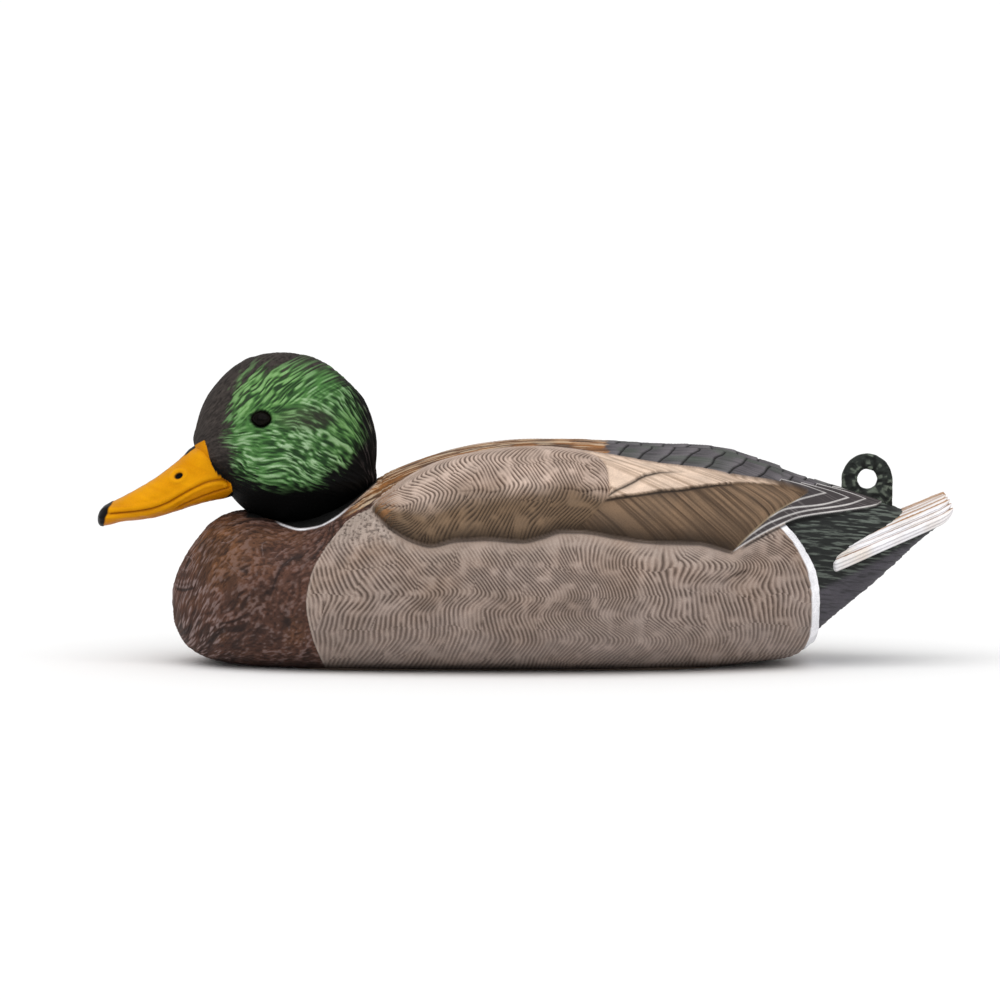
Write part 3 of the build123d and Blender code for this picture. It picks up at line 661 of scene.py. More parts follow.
def carve_scapulars(at):
    """The front of the wing: rows of slanting lines, pale above and olive below."""
    x, height = at.x, at.height
    rows = zip(at.wing_top[:, 0], at.side_arc, at.falling)
    rows_top = np.array([np.interp(top, arcs, heights) for top, arcs, heights in rows])[:, None]
    rows_low = along(WING_LOW, at.rows_x)[:, None]
    fall = np.clip((rows_top - height) / np.maximum(rows_top - rows_low, 4), 0, 1)
    place = fall * WING_ROWS
    row_wave = 3.4 * noise(x / 20 + at.shift, place / 30, 90) + 1.2 * noise(x / 7 + at.shift, place / 16, 91)
    slant = zigzag(place + row_wave, WING_TURNS)
    lines = wavy_lines(x, place, at.shift, slant, 1.5, WING_PITCH, 90) * ease(at.from_top - 1, 3)
    seam = bump(place + row_wave - 22.5, 0.9) * ease(noise(x / 7 + at.shift, place / 9, 98) + 0.2, 0.5)
    relief = -0.65 * lines - 0.35 * seam + 0.5 * bump(place - 15, 8)
    paint = lay(at.blank * WING_RIDGE, FLANK_WARM, 0.25 + 0.6 * at.patchy)
    paint = lay(paint, WING_OLIVE, ease(fall - 0.4 + 0.12 * at.patchy, 0.36) * 0.95)
    groove = lay(at.blank * WING_GROOVE, WING_DEEP, ease(fall - 0.4, 0.3))
    # The wavy lines are the wing's own dark paint; the carved seam between the rows is darkened as painted
    # shade.
    paint = lay(paint, groove, lines * 0.95 + 0.4 * seam)
    hairs = noise(x / 5, at.arc / 0.9, 99)
    paint = lay(paint, BACK_GOLD, ease(-56 - x, 10) * ease(hairs, 0.4) * 0.6)
    return relief, paint


def carve_tertials(at):
    """The long rear wing feathers with their barbs, and the two deep creases between them, painted dark as
    shadow.
    """
    x, height = at.x, at.height
    above_high = height - along(CREASE_HIGH, x)
    above_low = height - along(CREASE_LOW, x)
    lean = np.where(above_low > 0, 0.5, 0.85)
    barbs = noise((x + 40) / 22, (height + lean * x) / 0.7, 62)
    coarse = noise((x + 10) / 30, (height + lean * x) / 2.6, 63)
    high_reach, low_reach = ease(78 - x, 20), 1 - 0.8 * ease(x - 88, 14)
    over_high = np.exp(-np.maximum(above_high, 0) / 6) * ease(above_high, 0.5) * high_reach
    over_low = np.exp(-np.maximum(above_low, 0) / 6) * ease(above_low, 0.5)
    relief = 0.22 * barbs + 0.28 * coarse + 1.1 * over_high + 1.2 * over_low
    # Painted shadow: a dark line along each crease under the overlapping feather's edge, and painted shade
    # fading below it.
    under = high_reach * bump(above_high + 0.5, 1.1) + low_reach * bump(above_low + 0.4, 0.9)
    shade = high_reach * ease(-above_high, 0.4) * ease(above_high + 4, 4)
    shade = shade + low_reach * ease(-above_low, 0.4) * ease(above_low + 4, 4)
    upper = lay(at.blank * TERTIAL_LIGHT, TERTIAL_DARK, 0.2 + 0.6 * barbs + 0.22 * coarse)
    lower = lay(at.blank * TERTIAL_TAN, TERTIAL_OLIVE, 0.34 + 0.55 * barbs + 0.2 * coarse)
    lower = lay(lower, TERTIAL_OLIVE, ease(80 - height - 0.1 * (x - 60), 18) * 0.65)
    paint = lay(lower, upper, ease(above_low, 0.8) * ease(128 - x, 24))
    # Painted shade below each crease, then the painted shadow line along it.
    paint = lay(paint, TERTIAL_SHADE, 0.4 * shade)
    paint = lay(paint, TERTIAL_CREASE_SHADOW, under * 0.95)
    rim = bump(at.from_low - 0.8, 0.7) * ease(x - 98, 2)
    return relief, lay(paint, TERTIAL_RIM, rim * 0.7)


def carve_wing(at, relief, paint):
    """The folded wing, which stands proud of the flank below and runs level into the back above."""
    x = at.x
    to_end = along(SCAPULAR_END, at.height, axis=1) - x
    front_relief, front_paint = carve_scapulars(at)
    rear_relief, rear_paint = carve_tertials(at)
    step = 3.6 * rounded(at.from_low, 9) * ease(x + 74, 8) * ease(at.from_top, 20)
    detail = np.where(to_end > 0, front_relief + 0.9 * ease(to_end, 2), rear_relief)
    detail = detail * ease(at.from_top + 3, 12)
    wing_paint = lay(rear_paint, front_paint, ease(to_end, 1.0))
    # Painted shade: the wing darkens over its lowest 7 mm, where its edge rounds under.
    wing_paint = lay(wing_paint, WING_UNDERSIDE_SHADE, ease(7 - at.from_low, 7) * ease(100 - x, 6) * 0.75)
    mask = ease(x + 72.5, 3) * ease(133.2 - x, 1.2) * ease(at.from_top, 1.5) * ease(at.from_low, 0.8)
    shadow = bump(-at.from_low - 0.2, 1.3 + 0.5 * at.small) * ease(x + 70, 6) * ease(99 - x, 4)
    paint = lay(lay(paint, wing_paint, mask), WING_SHADOW, shadow * 0.75)
    return relief * (1 - mask) + (step + detail) * mask, paint


def paint_body(points, arc, side):
    """Relief in millimetres and paint for every point of the body."""
    at = body_places(points, arc, side)
    relief = np.zeros_like(at.x)
    paint = at.blank * SIDE_BLACK
    for carve in (carve_flank, carve_breast, carve_back, carve_rear):
        area_relief, area_paint, mask = carve(at)
        relief = relief + area_relief * mask
        paint = lay(paint, area_paint, mask)
    in_band = ease(at.from_band + BAND_WIDTH, 0.8) * ease(-at.from_band, 0.8) * ease(-at.from_low - 1, 1)
    paint = lay(paint, WHITE, in_band * ease(at.below_primaries, 1.0))
    relief, paint = carve_primaries(at, relief, paint)
    relief, paint = carve_wing(at, relief, paint)
    return relief * ease(at.z - 0.5, 5), paint


def cut_seat(points):
    """Points inside the head's seat move out on to its sphere."""
    centre = np.array([NECK_X, 0, SEAT_Z])
    away = points - centre
    distance = np.linalg.norm(away, axis=2, keepdims=True)
    on_seat = centre + away / np.maximum(distance, 1e-6) * SEAT_RADIUS
    return np.where(distance < SEAT_RADIUS, on_seat, points), distance[..., 0]


def plate_outline():
    """Middle and half size of the hull plate, seen from above."""
    low, high = [np.array(corner[:2]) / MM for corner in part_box("hull_plate")]
    return (low + high) / 2, (high - low) / 2


def hull_recess(points):
    """True where a point lies within the hull plate's outline, grown by half a millimetre."""
    middle, reach = plate_outline()
    corner = PLATE_CORNER + 0.5
    over = np.maximum(np.abs(points[..., :2] - middle) - (reach + 0.5 - corner), 0)
    return (np.hypot(over[..., 0], over[..., 1]) < corner) & (points[..., 2] < 1)


def build_body():
    """The carved body's grid with the head's seat cut into it, the arcs from the ridge, and the paint."""
    points, arc, side = body_form()
    relief, paint = paint_body(points, arc, side)
    normals = outward_normals(points)
    points = points + normals * relief[..., None]
    points[..., 2] = np.maximum(points[..., 2], 0)
    points, from_seat = cut_seat(points)
    x = points[..., 0]
    above_ring = seen_height(points) - along(NECK_RING, x)
    near_seat = ease(x + 134, 3) * ease(-68 - x, 3) * ease(SEAT_RADIUS + 16 - from_seat, 3)
    white_reach = 0.15 + 0.85 * ease(-82 - x, 5)
    paint = lay(paint, COLLAR_BLACK, ease(above_ring, 0.5) * near_seat)
    paint = lay(paint, WHITE, bump(above_ring + 0.4, 0.9) * near_seat * ease(x + 119, 5) * white_reach)
    paint = lay(paint, SEAT_BLACK, ease(SEAT_RADIUS - from_seat, 0.3))
    return points, arc, paint


# ---- Head ----

# Ovals from the seat's ball up to the crown: height, centre x, half length, half width
HEAD_OVALS = (
    (87.0, -107.5, 36.6, 36.6),
    (93.0, -110.5, 39.6, 37.0),
    (99.5, -112.9, 42.3, 36.4),
    (105.8, -114.1, 43.5, 35.2),
    (112.5, -114.1, 42.2, 33.6),
    (119.2, -114.1, 40.3, 31.4),
    (126.5, -114.2, 37.0, 28.0),
    (132.8, -114.8, 31.9, 23.8),
    (138.5, -115.2, 26.1, 18.8),
    (143.0, -115.4, 19.9, 13.8),
    (146.1, -115.4, 12.5, 8.2),
    (147.4, -115.2, 5.0, 3.6),
    (147.6, -115.2, 0.4, 0.4),
)
BALL_RADIUS = 40.6
BALL_ROWS, HEAD_STEP, HEAD_COLUMNS = 11, 0.38, 700
EYE_X, EYE_Y, EYE_Z = -124.5, 29.4, 117.9
EYE_HALF_LENGTH, EYE_HALF_HEIGHT, EYE_DEPTH = 4.1, 3.5, 3.4
EYE_ROWS, EYE_COLUMNS = 60, 80
# The green patch on the cheek: reach from its middle by direction, counted from the tail upwards
GREEN_MIDDLE = (-110.0, 111.0)
GREEN_REACH = ((0, 37), (45, 38), (90, 37), (135, 36), (180, 33), (225, 31), (270, 27), (315, 29), (360, 37))
# Where the bill's rear edge meets the feathers in the side view: x, height
BILL_EDGE = (
    (-143, 81), (-140.5, 82.8), (-138.4, 86), (-139, 88.5), (-143, 91), (-146.3, 94), (-148.4, 98),
    (-149.8, 104), (-151.6, 109.6), (-153, 113),
)
BILL_WEDGE = ((-160.5, 104.9), (-151.3, 109.3))
STRAND_ROOT, STRAND_PATH, STRAND_RADIUS = (-156, 0, 95), (81, 0, -22), 37
HEAD_BLACK, HEAD_CROWN, HEAD_DARK_GREEN = rgb(12, 12, 12), rgb(66, 60, 57), rgb(38, 62, 36)
NAPE_GREY, SOCKET_BLACK = rgb(128, 116, 118), rgb(5, 5, 5)
HEAD_GREEN, HEAD_BRIGHT, HEAD_MINT = rgb(72, 116, 62), rgb(112, 160, 84), rgb(166, 194, 156)


def on_bill(x, height):
    """1 on the bill's own surface and 0 among the face's feathers, in the side view."""
    behind = along(BILL_EDGE, height, axis=1) - x
    (wedge_x, wedge_height), (spike_x, spike_height) = BILL_WEDGE
    slope = (spike_height - wedge_height) / (spike_x - wedge_x)
    below_wedge = wedge_height + slope * (x - wedge_x) - height
    return ease(behind + 0.2, 0.5) * np.where(x > wedge_x, ease(below_wedge + 0.2, 0.5), 1)


def head_form():
    """The head's smooth grid, from the bottom of the neck ball to the crown."""
    heights = np.linspace(SEAT_Z - BALL_RADIUS + 0.05, HEAD_OVALS[0][0], BALL_ROWS + 1)[:-1]
    radii = np.sqrt(BALL_RADIUS**2 - (SEAT_Z - heights) ** 2)
    ball = np.stack([heights, np.full(BALL_ROWS, NECK_X), radii, radii], 1)
    stations = np.concatenate([ball, np.array(HEAD_OVALS)])
    rows = rows_through(stations, np.hypot(np.diff(stations[:, 0]), np.diff(stations[:, 3])), HEAD_STEP)
    turn = np.linspace(0, 2 * pi, HEAD_COLUMNS, endpoint=False)
    x = rows[:, 1:2] - rows[:, 2:3] * np.cos(turn)
    y = -rows[:, 3:4] * np.sin(turn)
    return np.stack([x, y, np.repeat(rows[:, :1], HEAD_COLUMNS, axis=1)], -1)


def paint_head(points):
    """Feather strands that flow back from the bill, and the drake's green dry-brushed over black."""
    x, y, z = np.moveaxis(points, -1, 0)
    height = seen_height(points)
    # Strands follow the circles that run from the bill's root to the hidden back of the neck
    path = np.array(STRAND_PATH) / np.linalg.norm(STRAND_PATH)
    from_root = points - np.array(STRAND_ROOT)
    back = from_root @ path
    above_path = from_root @ np.array([-path[2], 0, path[0]])
    round_bill = np.arctan2(from_root[..., 1], above_path) * STRAND_RADIUS
    sway = 2.4 * noise(back / 14 + 50, round_bill / 12 + 50, 101)
    sway = sway + 0.35 * noise(back / 4 + 9, round_bill / 5 + 50, 102)
    fine = noise((round_bill + sway) / 0.45 + 120, back / 2.6 + 0.5 * sway, 103)
    strands = noise((round_bill + sway) / 0.72 + 60, back / 4.0 + 0.3 * sway, 106)
    locks = noise((round_bill + sway) / 2.4 + 80, back / 7, 104)
    # On the crown the strands stand up, leaning back
    up_slope, over_slope = (x + z) * 0.7 + 0.6 * np.abs(y), (z - x) * 0.7 - 0.3 * np.abs(y)
    crown_sway = 1.2 * noise(up_slope / 6 + 5, over_slope / 7 + 60, 108)
    crown_strands = noise((over_slope + crown_sway) / 0.75 + 40, up_slope / 3.2 + 90, 109)
    on_crown = ease(height - 119 - 0.35 * (x + 114), 12)
    strands = strands * (1 - on_crown) + crown_strands * on_crown
    fine = fine * (1 - on_crown) + 0.8 * crown_strands * on_crown
    brush = 0.45 * fine + 0.4 * strands + 0.05 * locks
    grit = rough_noise(round_bill / 0.9 + 30, back / 1.1, 107, 2)
    blotch = rough_noise(x / 13 + 9, height / 11 + np.where(y > 0, 40, 0), 105, 4)
    relief = (0.2 * fine + 0.3 * strands + 0.15 * locks) * (1 - 0.6 * on_crown) + 0.08 * grit

    behind, above = x - GREEN_MIDDLE[0], height - GREEN_MIDDLE[1]
    reach = np.interp(np.degrees(np.arctan2(above, behind)) % 360, *zip(*GREEN_REACH))
    inside = reach - np.hypot(above, behind) + 4 * blotch

    def spot(centre_x, centre_height, half_length, half_height):
        """1 in the middle of a soft oval in the side view, 0 outside it."""
        away = np.hypot((x - centre_x) / half_length, (height - centre_height) / half_height)
        return 1 - ease(away - 0.35, 0.65)

    forehead = 0.85 * ease(-130 - x, 9) * ease(height - 92, 14)
    crown = np.clip(ease(height - 112 - 0.5 * (x + 114), 26) + forehead, 0, 1)
    paint = lay(np.ones_like(points) * HEAD_BLACK, HEAD_CROWN, crown * (0.72 + 0.5 * grit))
    paint = lay(paint, HEAD_CROWN * 1.6, ease(brush - 0.05, 0.5) * 0.35 * ease(height - 92, 10))
    green = ease(inside + 0.5 + 5 * brush, 9)
    paint = lay(paint, HEAD_DARK_GREEN, green * 0.9)
    paint = lay(paint, HEAD_GREEN, green * ease(brush + 0.55 + 0.35 * blotch, 0.75))
    bright = np.clip(0.35 + spot(-122, 131, 26, 16) + 0.5 * spot(-83, 108, 14, 22), 0, 1)
    paint = lay(paint, HEAD_BRIGHT, green * bright * ease(brush + 0.2, 0.6) * 0.75)
    mint = np.clip(0.3 + spot(-112, 103, 38, 17) + 0.5 * spot(-96, 128, 20, 12), 0, 1)
    paint = lay(paint, HEAD_MINT, green * mint * ease(brush + 0.02, 0.5) * 0.8)
    stripe = spot(-103, 119, 19, 8)
    paint = lay(paint, HEAD_CROWN * 0.6, green * stripe * (0.75 - 0.5 * ease(brush, 0.5)))
    paint = lay(paint, NAPE_GREY, ease(brush - 0.2, 0.4) * ease(x + 80, 8) * ease(height - 84, 8) * 0.5)
    paint = lay(paint, HEAD_BLACK * 0.2, ease(89 + 3 * blotch - height, 7))

    eye_height = EYE_Z * cos(VIEW_TILT) - EYE_Y * sin(VIEW_TILT) + VIEW_RISE
    from_eye = np.hypot((x - EYE_X) / 1.2, height - eye_height)
    relief = relief * ease(from_eye - 4, 3)
    relief = relief - 1.3 * (1 - ease(from_eye - 2.8, 1.8)) + 0.5 * bump(from_eye - 5.2, 1.2)
    paint = lay(paint, SOCKET_BLACK, 1 - ease(from_eye - 3.7, 1.2))
    paint = lay(paint, HEAD_GREEN, bump(from_eye - 5.4, 0.9) * 0.5)

    plate = on_bill(x, height) * ease(height - 78, 2) * ease(np.abs(y) - 5, 2.5)
    relief = relief * (1 - 0.6 * ease(-137 - x, 5)) * ease(z - 78, 9) * (1 - plate) + 0.45 * plate
    paint = lay(paint, HEAD_BLACK, bump(plate - 0.4, 0.5) * 0.6)
    paint = lay(paint, BILL_ORANGE, ease(plate - 0.4, 0.4))
    return relief, paint


# ---- Bill ----

# Stations from the face to the tip: x, half width, top, bottom, power of the rounded section
BILL_STATIONS = (
    (-133.0, 1.0, 92.0, 84.0, 2.2),
    (-134.0, 13.0, 96.5, 81.5, 2.6),
    (-142.0, 17.0, 102.5, 78.5, 3.2),
    (-151.0, 17.8, 105.5, 76.8, 3.4),
    (-158.0, 16.2, 102.0, 74.7, 3.0),
    (-166.0, 14.2, 95.3, 72.1, 2.6),
    (-175.0, 13.2, 88.4, 69.3, 2.4),
    (-184.0, 13.2, 82.9, 67.9, 2.4),
    (-192.0, 13.4, 78.6, 67.1, 2.4),
    (-198.0, 12.0, 75.5, 65.5, 2.4),
    (-201.5, 8.6, 72.7, 65.3, 2.3),
    (-203.0, 3.6, 70.1, 66.7, 2.0),
    (-203.2, 0.4, 68.8, 68.0, 2.0),
)
BILL_STEP, BILL_COLUMNS = 0.4, 240
TOP, BOTTOM = 2, 3
# Drawn in the side view: x, height
LIP_LINE = (
    (-198, 74.2), (-188, 74.8), (-178.6, 76.1), (-170, 79.0), (-163, 83.0), (-156, 86.8), (-149, 89.6),
    (-143.5, 90.4), (-139.5, 88.8),
)
JAW_LINE = ((-166, 76.5), (-160, 79.2), (-154, 81.8), (-148, 84.0), (-142, 86.0), (-139, 87.5))
NOSTRIL, MOUTH_CORNER = (-164.2, 92.2), (-139.5, 87.6)
BILL_ORANGE, BILL_LIGHT, BILL_SHADE = rgb(206, 134, 0), rgb(224, 154, 4), rgb(172, 96, 0)
BILL_LINE, BILL_BLACK, CULMEN_BROWN = rgb(128, 66, 2), rgb(14, 12, 14), rgb(60, 36, 14)


def bill_form():
    """The bill's smooth grid, from inside the face to the tip."""
    stations = np.array(BILL_STATIONS)
    spread = np.linalg.norm(np.diff(stations[:, :4] * (1, 0.7, 0.7, 0.7), axis=0), axis=1)
    x, half_width, top, bottom, power = rows_through(stations, spread, BILL_STEP).T[..., None]
    turn = np.linspace(0, 2 * pi, BILL_COLUMNS, endpoint=False)
    y = half_width * squared_off(np.cos(turn), power)
    z = (top + bottom) / 2 + (top - bottom) / 2 * squared_off(np.sin(turn), power)
    return np.stack([np.repeat(x, BILL_COLUMNS, axis=1), y, z], -1)


def bill_edge_height(x, column):
    """Height of the bill's top or bottom line along its middle."""
    stations = np.array(BILL_STATIONS)[::-1]
    return np.interp(x, stations[:, 0], stations[:, column])


def paint_bill(points):
    """Lips, nostrils, nail and the feather wedge on the bill's ridge."""
    x, y, z = np.moveaxis(points, -1, 0)
    width = np.abs(y)
    height = seen_height(points)
    above_lip = height - along(LIP_LINE, x)
    above_jaw = height - along(JAW_LINE, x)
    on_side = ease(width - 3, 4)
    lip = bump(above_lip, 0.9) * on_side * ease(x + 199, 3)
    jaw = bump(above_jaw, 0.9) * on_side * ease(x + 168, 6)
    cloud = rough_noise(x / 9 + 4, height / 6 + np.where(y > 0, 30, 0), 121, 4)
    streaks = noise((height + 0.4 * x) / 1.6, x / 16, 122)
    relief = 0.14 * cloud + 0.08 * streaks - 0.75 * lip - 0.6 * jaw
    relief = relief + 0.55 * bump(above_lip - 2.2, 2.0) * on_side + 0.4 * bump(above_lip + 1.9, 1.6)
    corner = np.hypot(x - MOUTH_CORNER[0], height - MOUTH_CORNER[1])
    relief = relief + 0.5 * bump(corner - 2.2, 1.6) * on_side

    paint = lay(np.ones_like(points) * BILL_ORANGE, BILL_LIGHT, 0.35 + 0.5 * cloud + 0.25 * streaks)
    paint = lay(paint, BILL_SHADE, ease(-above_lip, 5) * 0.45)
    # Painted shade along the bill's underside.
    paint = lay(paint, BILL_SHADE, ease(bill_edge_height(x, BOTTOM) + 2.2 - z, 2.5) * 0.6)
    paint = lay(paint, BILL_LINE, 0.85 * lip + 0.7 * jaw)
    # Painted highlight on the raised rolls either side of the lip line.
    paint = lay(paint, BILL_LIGHT, (bump(above_lip - 1.9, 1.0) + bump(above_lip + 1.7, 0.9)) * 0.5 * on_side)

    turned = radians(24)
    across, up = x - NOSTRIL[0], height - NOSTRIL[1]
    long_way, short_way = across * cos(turned) + up * sin(turned), up * cos(turned) - across * sin(turned)
    nostril = np.hypot(long_way / 1.45, short_way)
    relief = relief - 1.5 * (1 - ease(nostril - 0.7, 1.0)) * on_side
    relief = relief + 0.5 * bump(nostril - 2.6, 1.3) * on_side
    # Painted highlight on the nostril's raised rim.
    paint = lay(paint, BILL_LIGHT, bump(nostril - 2.7, 1.0) * on_side * 0.6)
    paint = lay(paint, BILL_BLACK, (1 - ease(nostril - 1.2, 0.5)) * on_side)

    nail = ease(-195.5 + (height - 79.7) * 0.39 - x, 0.6)
    relief = relief + 0.3 * nail
    paint = lay(paint, BILL_BLACK, nail)
    paint = lay(paint, HEAD_BLACK, 1 - ease(on_bill(x, height) - 0.4, 0.4))
    ridge_depth = bill_edge_height(x, TOP) - z
    culmen = (1 - ease(width - 0.6, 0.9)) * (1 - ease(ridge_depth, 2))
    paint = lay(paint, CULMEN_BROWN, culmen * 0.9)
    forehead = ease(x + 163, 4) * (1 - ease(ridge_depth, 3)) * (1 - ease(width - 5, 5))
    relief = relief + 0.5 * forehead
    paint = lay(paint, HEAD_BLACK, ease(forehead - 0.15, 0.3))
    return relief * ease(x + 203.2, 2), paint


# ---- Tail ----

TAIL_START, TAIL_TIP = 144.6, 203.0
TAIL_EDGE_Z, TAIL_TILT, TAIL_SPAN, TAIL_ARCH = 48.8, radians(22.8), 36.0, 2.0
# Each feather from the edge inwards: distance from the middle at the root, height above the first
TAIL_FEATHERS = ((29.8, 0.0), (28.0, 2.4), (25.6, 4.5), (20.0, 5.8), (13.2, 6.5), (5.6, 6.8))
VANE_ROWS, VANE_COLUMNS, VANE_POWER = 190, 84, 3.2
VANE_HALF_WIDTH, VANE_THICKNESS, OUTER_THICKNESS, OUTER_THINNING = 6.4, 3.0, 6.4, 1.6
TIP_ROUNDING, ROOT_ROUNDING = 6.5, 3.0
TAIL_WHITE, TAIL_CREAM = rgb(238, 236, 239), rgb(220, 206, 188)
# Gold-brown and grey stand for painted shade in the tail's grooves and under its feathers.
TAIL_GOLD_SHADE, TAIL_GREY_SHADE = rgb(164, 116, 66), rgb(116, 110, 116)


def tail_height(x, y):
    """Upper face of the tilted, slightly arched tail at its outer feather."""
    return TAIL_EDGE_Z + np.tan(TAIL_TILT) * (x - TAIL_START) + TAIL_ARCH * (1 - (np.abs(y) / TAIL_SPAN) ** 2)


def build_tail_feather(number, side, material):
    """One long vane with rounded ends; the outermost lies lowest and shows a thick, grooved white edge."""
    share = np.linspace(0, 1, VANE_ROWS)[:, None]
    turn = np.linspace(0, 2 * pi, VANE_COLUMNS, endpoint=False)[None, :]
    start_x, tip_x = TAIL_START + 0.4 * number, TAIL_TIP - 0.75 * number
    x = start_x + (tip_x - start_x) * (0.5 - 0.5 * np.cos(share * pi))
    from_middle, rise = TAIL_FEATHERS[number]
    middle = from_middle * (1 - 0.34 * share**1.8)
    to_end = np.clip(np.minimum((tip_x - x) / TIP_ROUNDING, (x - start_x) / ROOT_ROUNDING), 0.0001, 1)
    round_end = np.sqrt(1 - (1 - to_end) ** 2)
    half_width = VANE_HALF_WIDTH * round_end * (1 - 0.12 * share)
    thickness = (OUTER_THICKNESS - OUTER_THINNING * share if number == 0 else VANE_THICKNESS) * round_end
    out, up = squared_off(np.cos(turn), VANE_POWER), squared_off(np.sin(turn), VANE_POWER)
    barbs = noise((x + 1.3 * np.abs(out) * half_width) / 0.9 + 31 * number, out * 2 + 9, 140 + number)
    grooves = (bump(up - 0.3, 0.2) + bump(up + 0.3, 0.2)) * (out > 0.5)
    y = middle + half_width * out - 0.35 * grooves * round_end
    crown = 0.6 * (1 - np.abs(out)) + 0.12 * barbs
    z = tail_height(x, y) + rise * (0.75 + 0.25 * share) + 2.0 * (1 - share)
    z = z + np.where(up > 0, crown, 0) * round_end + thickness * (up - 1) / 2
    z = z + 0.3 * noise(x / 17 + 3 * number, y / 9, 150)
    points = np.stack([x + 0 * y, y * side, z], -1)
    cream = 0.15 + 0.5 * noise(x / 8 + number, out * 2, 151)
    paint = lay(np.ones_like(points) * TAIL_WHITE, TAIL_CREAM, cream)
    # Painted shade: gold-brown in the valleys where the feathers overlap and under the inner feathers, grey
    # in the carved grooves and on the undersides.
    shaded_valley = ease(0.62 - out, 0.3) * ease(up + 0.2, 0.3) + (ease(0.15 - up, 0.5) if number > 0 else 0)
    paint = lay(paint, TAIL_GOLD_SHADE, np.clip(shaded_valley, 0, 1) * (0.75 + 0.4 * noise(x / 14, out * 3 + number, 152)))
    paint = lay(paint, TAIL_GREY_SHADE, 0.5 * grooves + 0.55 * ease(-up - 0.6, 0.3))
    name = f"tail_feather_{'right' if side > 0 else 'left'}_{number + 1}"
    skin(name, points, paint, material, "body", "tail_feathers")


# ---- Keel loop on the rump ----

LOOP_X, LOOP_Z, LOOP_FOOT_Z = 163.0, 87.5, 69.0
LOOP_RADIUS, LOOP_HOLE, LOOP_THICKNESS = 12.0, 4.75, 8.0
LOOP_ROWS, LOOP_COLUMNS, LOOP_POWER = 260, 90, 4.5
LOOP_BASE, LOOP_PALE, LOOP_DARK = rgb(38, 42, 39), rgb(104, 112, 100), rgb(12, 13, 12)


def build_loop(material):
    """A flat ring on a straight foot, with softened edges and a hide-like grain."""
    turn = np.linspace(0, 2 * pi, LOOP_ROWS, endpoint=False)[:, None]
    section = np.linspace(0, 2 * pi, LOOP_COLUMNS, endpoint=False)[None, :]
    side_reach = LOOP_RADIUS / np.maximum(np.abs(np.cos(turn)), 1e-3)
    foot_reach = (LOOP_Z - LOOP_FOOT_Z) / np.maximum(-np.sin(turn), 1e-3)
    reach = np.where(np.sin(turn) < 0, np.minimum(side_reach, foot_reach), LOOP_RADIUS)
    out, aside = squared_off(np.cos(section), LOOP_POWER), squared_off(np.sin(section), LOOP_POWER)
    radius = (LOOP_HOLE + reach) / 2 + (reach - LOOP_HOLE) / 2 * out
    x = LOOP_X + radius * np.cos(turn)
    z = LOOP_Z + radius * np.sin(turn)
    y = LOOP_THICKNESS / 2 * aside + 0 * x
    points = np.stack([x, y, z], -1)
    grain = rough_noise(x / 2.6 + 7, z / 1.8 + y / 3, 161, 3)
    flow = noise(turn * 3 + 0 * radius, radius / 1.1, 162)
    points = points + outward_normals(points) * (0.22 * grain + 0.12 * flow)[..., None]
    paint = lay(np.ones_like(points) * LOOP_BASE, LOOP_PALE, ease(grain + 0.5 * flow - 0.08, 0.45) * 0.8)
    paint = lay(paint, LOOP_DARK, ease(-grain - 0.02, 0.4) * 0.8)
    skin("tail_loop_skin", points, paint, material, "body", "tail_loop", join_rows=True)


# ---- Rim of the hull opening, underneath ----

RIM_BROWN, RIM_ROWS = rgb(104, 90, 80), 360
# Profile across the rim: distance outside the plate's edge, height
RIM_PROFILE = ((-9.0, 4.7), (0.4, 4.6), (0.6, 4.3), (0.6, 0.9), (0.9, 0.35), (1.5, 0.12), (14.0, 0.12))


def build_hull_rim(material):
    """A neat lip and wall around the hull plate, from the flat bottom up to the plate's ledge."""
    middle, reach = plate_outline()
    turn = np.linspace(0, 2 * pi, RIM_ROWS, endpoint=False)[:, None]
    offsets, heights = np.array(RIM_PROFILE).T[..., None, :]
    # Clipping a far larger circle to a rectangle leaves straight sides between the rounded corners
    far, square, rounding = 400, reach - PLATE_CORNER, PLATE_CORNER + offsets
    x = middle[0] + np.clip(np.cos(turn) * far, -square[0], square[0]) + rounding * np.cos(turn)
    y = middle[1] + np.clip(np.sin(turn) * far, -square[1], square[1]) + rounding * np.sin(turn)
    points = np.stack([x, y, heights + 0 * x], -1)
    paint = np.ones_like(points) * RIM_BROWN
    skin("hull_rim", points, paint, material, "body", "body_shell", join_rows=True)


# ---- Building it all ----

# Where the body's skin divides, as x, and how far down its sides the back's piece reaches
BREAST_CUT, FLANK_CUT, RUMP_CUT, TAIL_CUT = -85, 10, 60, 120
BACK_SHARE = 0.36


def build_body_skins(material):
    """The body's skin as neighbouring pieces that share their edges and their normals."""
    points, arc, paint = build_body()
    normals = outward_normals(points)
    columns = arc.shape[1]
    faces = grid_faces(points)
    uncovered = hull_recess(points).reshape(-1)[faces].all(axis=-1)
    x = points[:-1, :, 0]
    on_left = (np.arange(columns) >= columns // 2)[None, :]
    share_down = arc[:-1] / arc[:-1].max(axis=1, keepdims=True)
    on_top = share_down < BACK_SHARE
    chosen = {
        "breast_skin": x < BREAST_CUT,
        "back_skin": (x >= BREAST_CUT) & (x < RUMP_CUT) & on_top,
        "rump_skin": (x >= RUMP_CUT) & (on_top | (x > TAIL_CUT)),
    }
    rest = ~np.any(list(chosen.values()), axis=0)
    for side, half in (("left", rest & on_left), ("right", rest & ~on_left)):
        chosen[f"{side}_front_flank_skin"] = half & (x < FLANK_CUT)
        chosen[f"{side}_rear_flank_skin"] = half & (x >= FLANK_CUT)
    for name, mask in chosen.items():
        piece = make_mesh(name, points, faces[mask & ~uncovered], material, "body", normals, paint)
        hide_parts("body_shell")


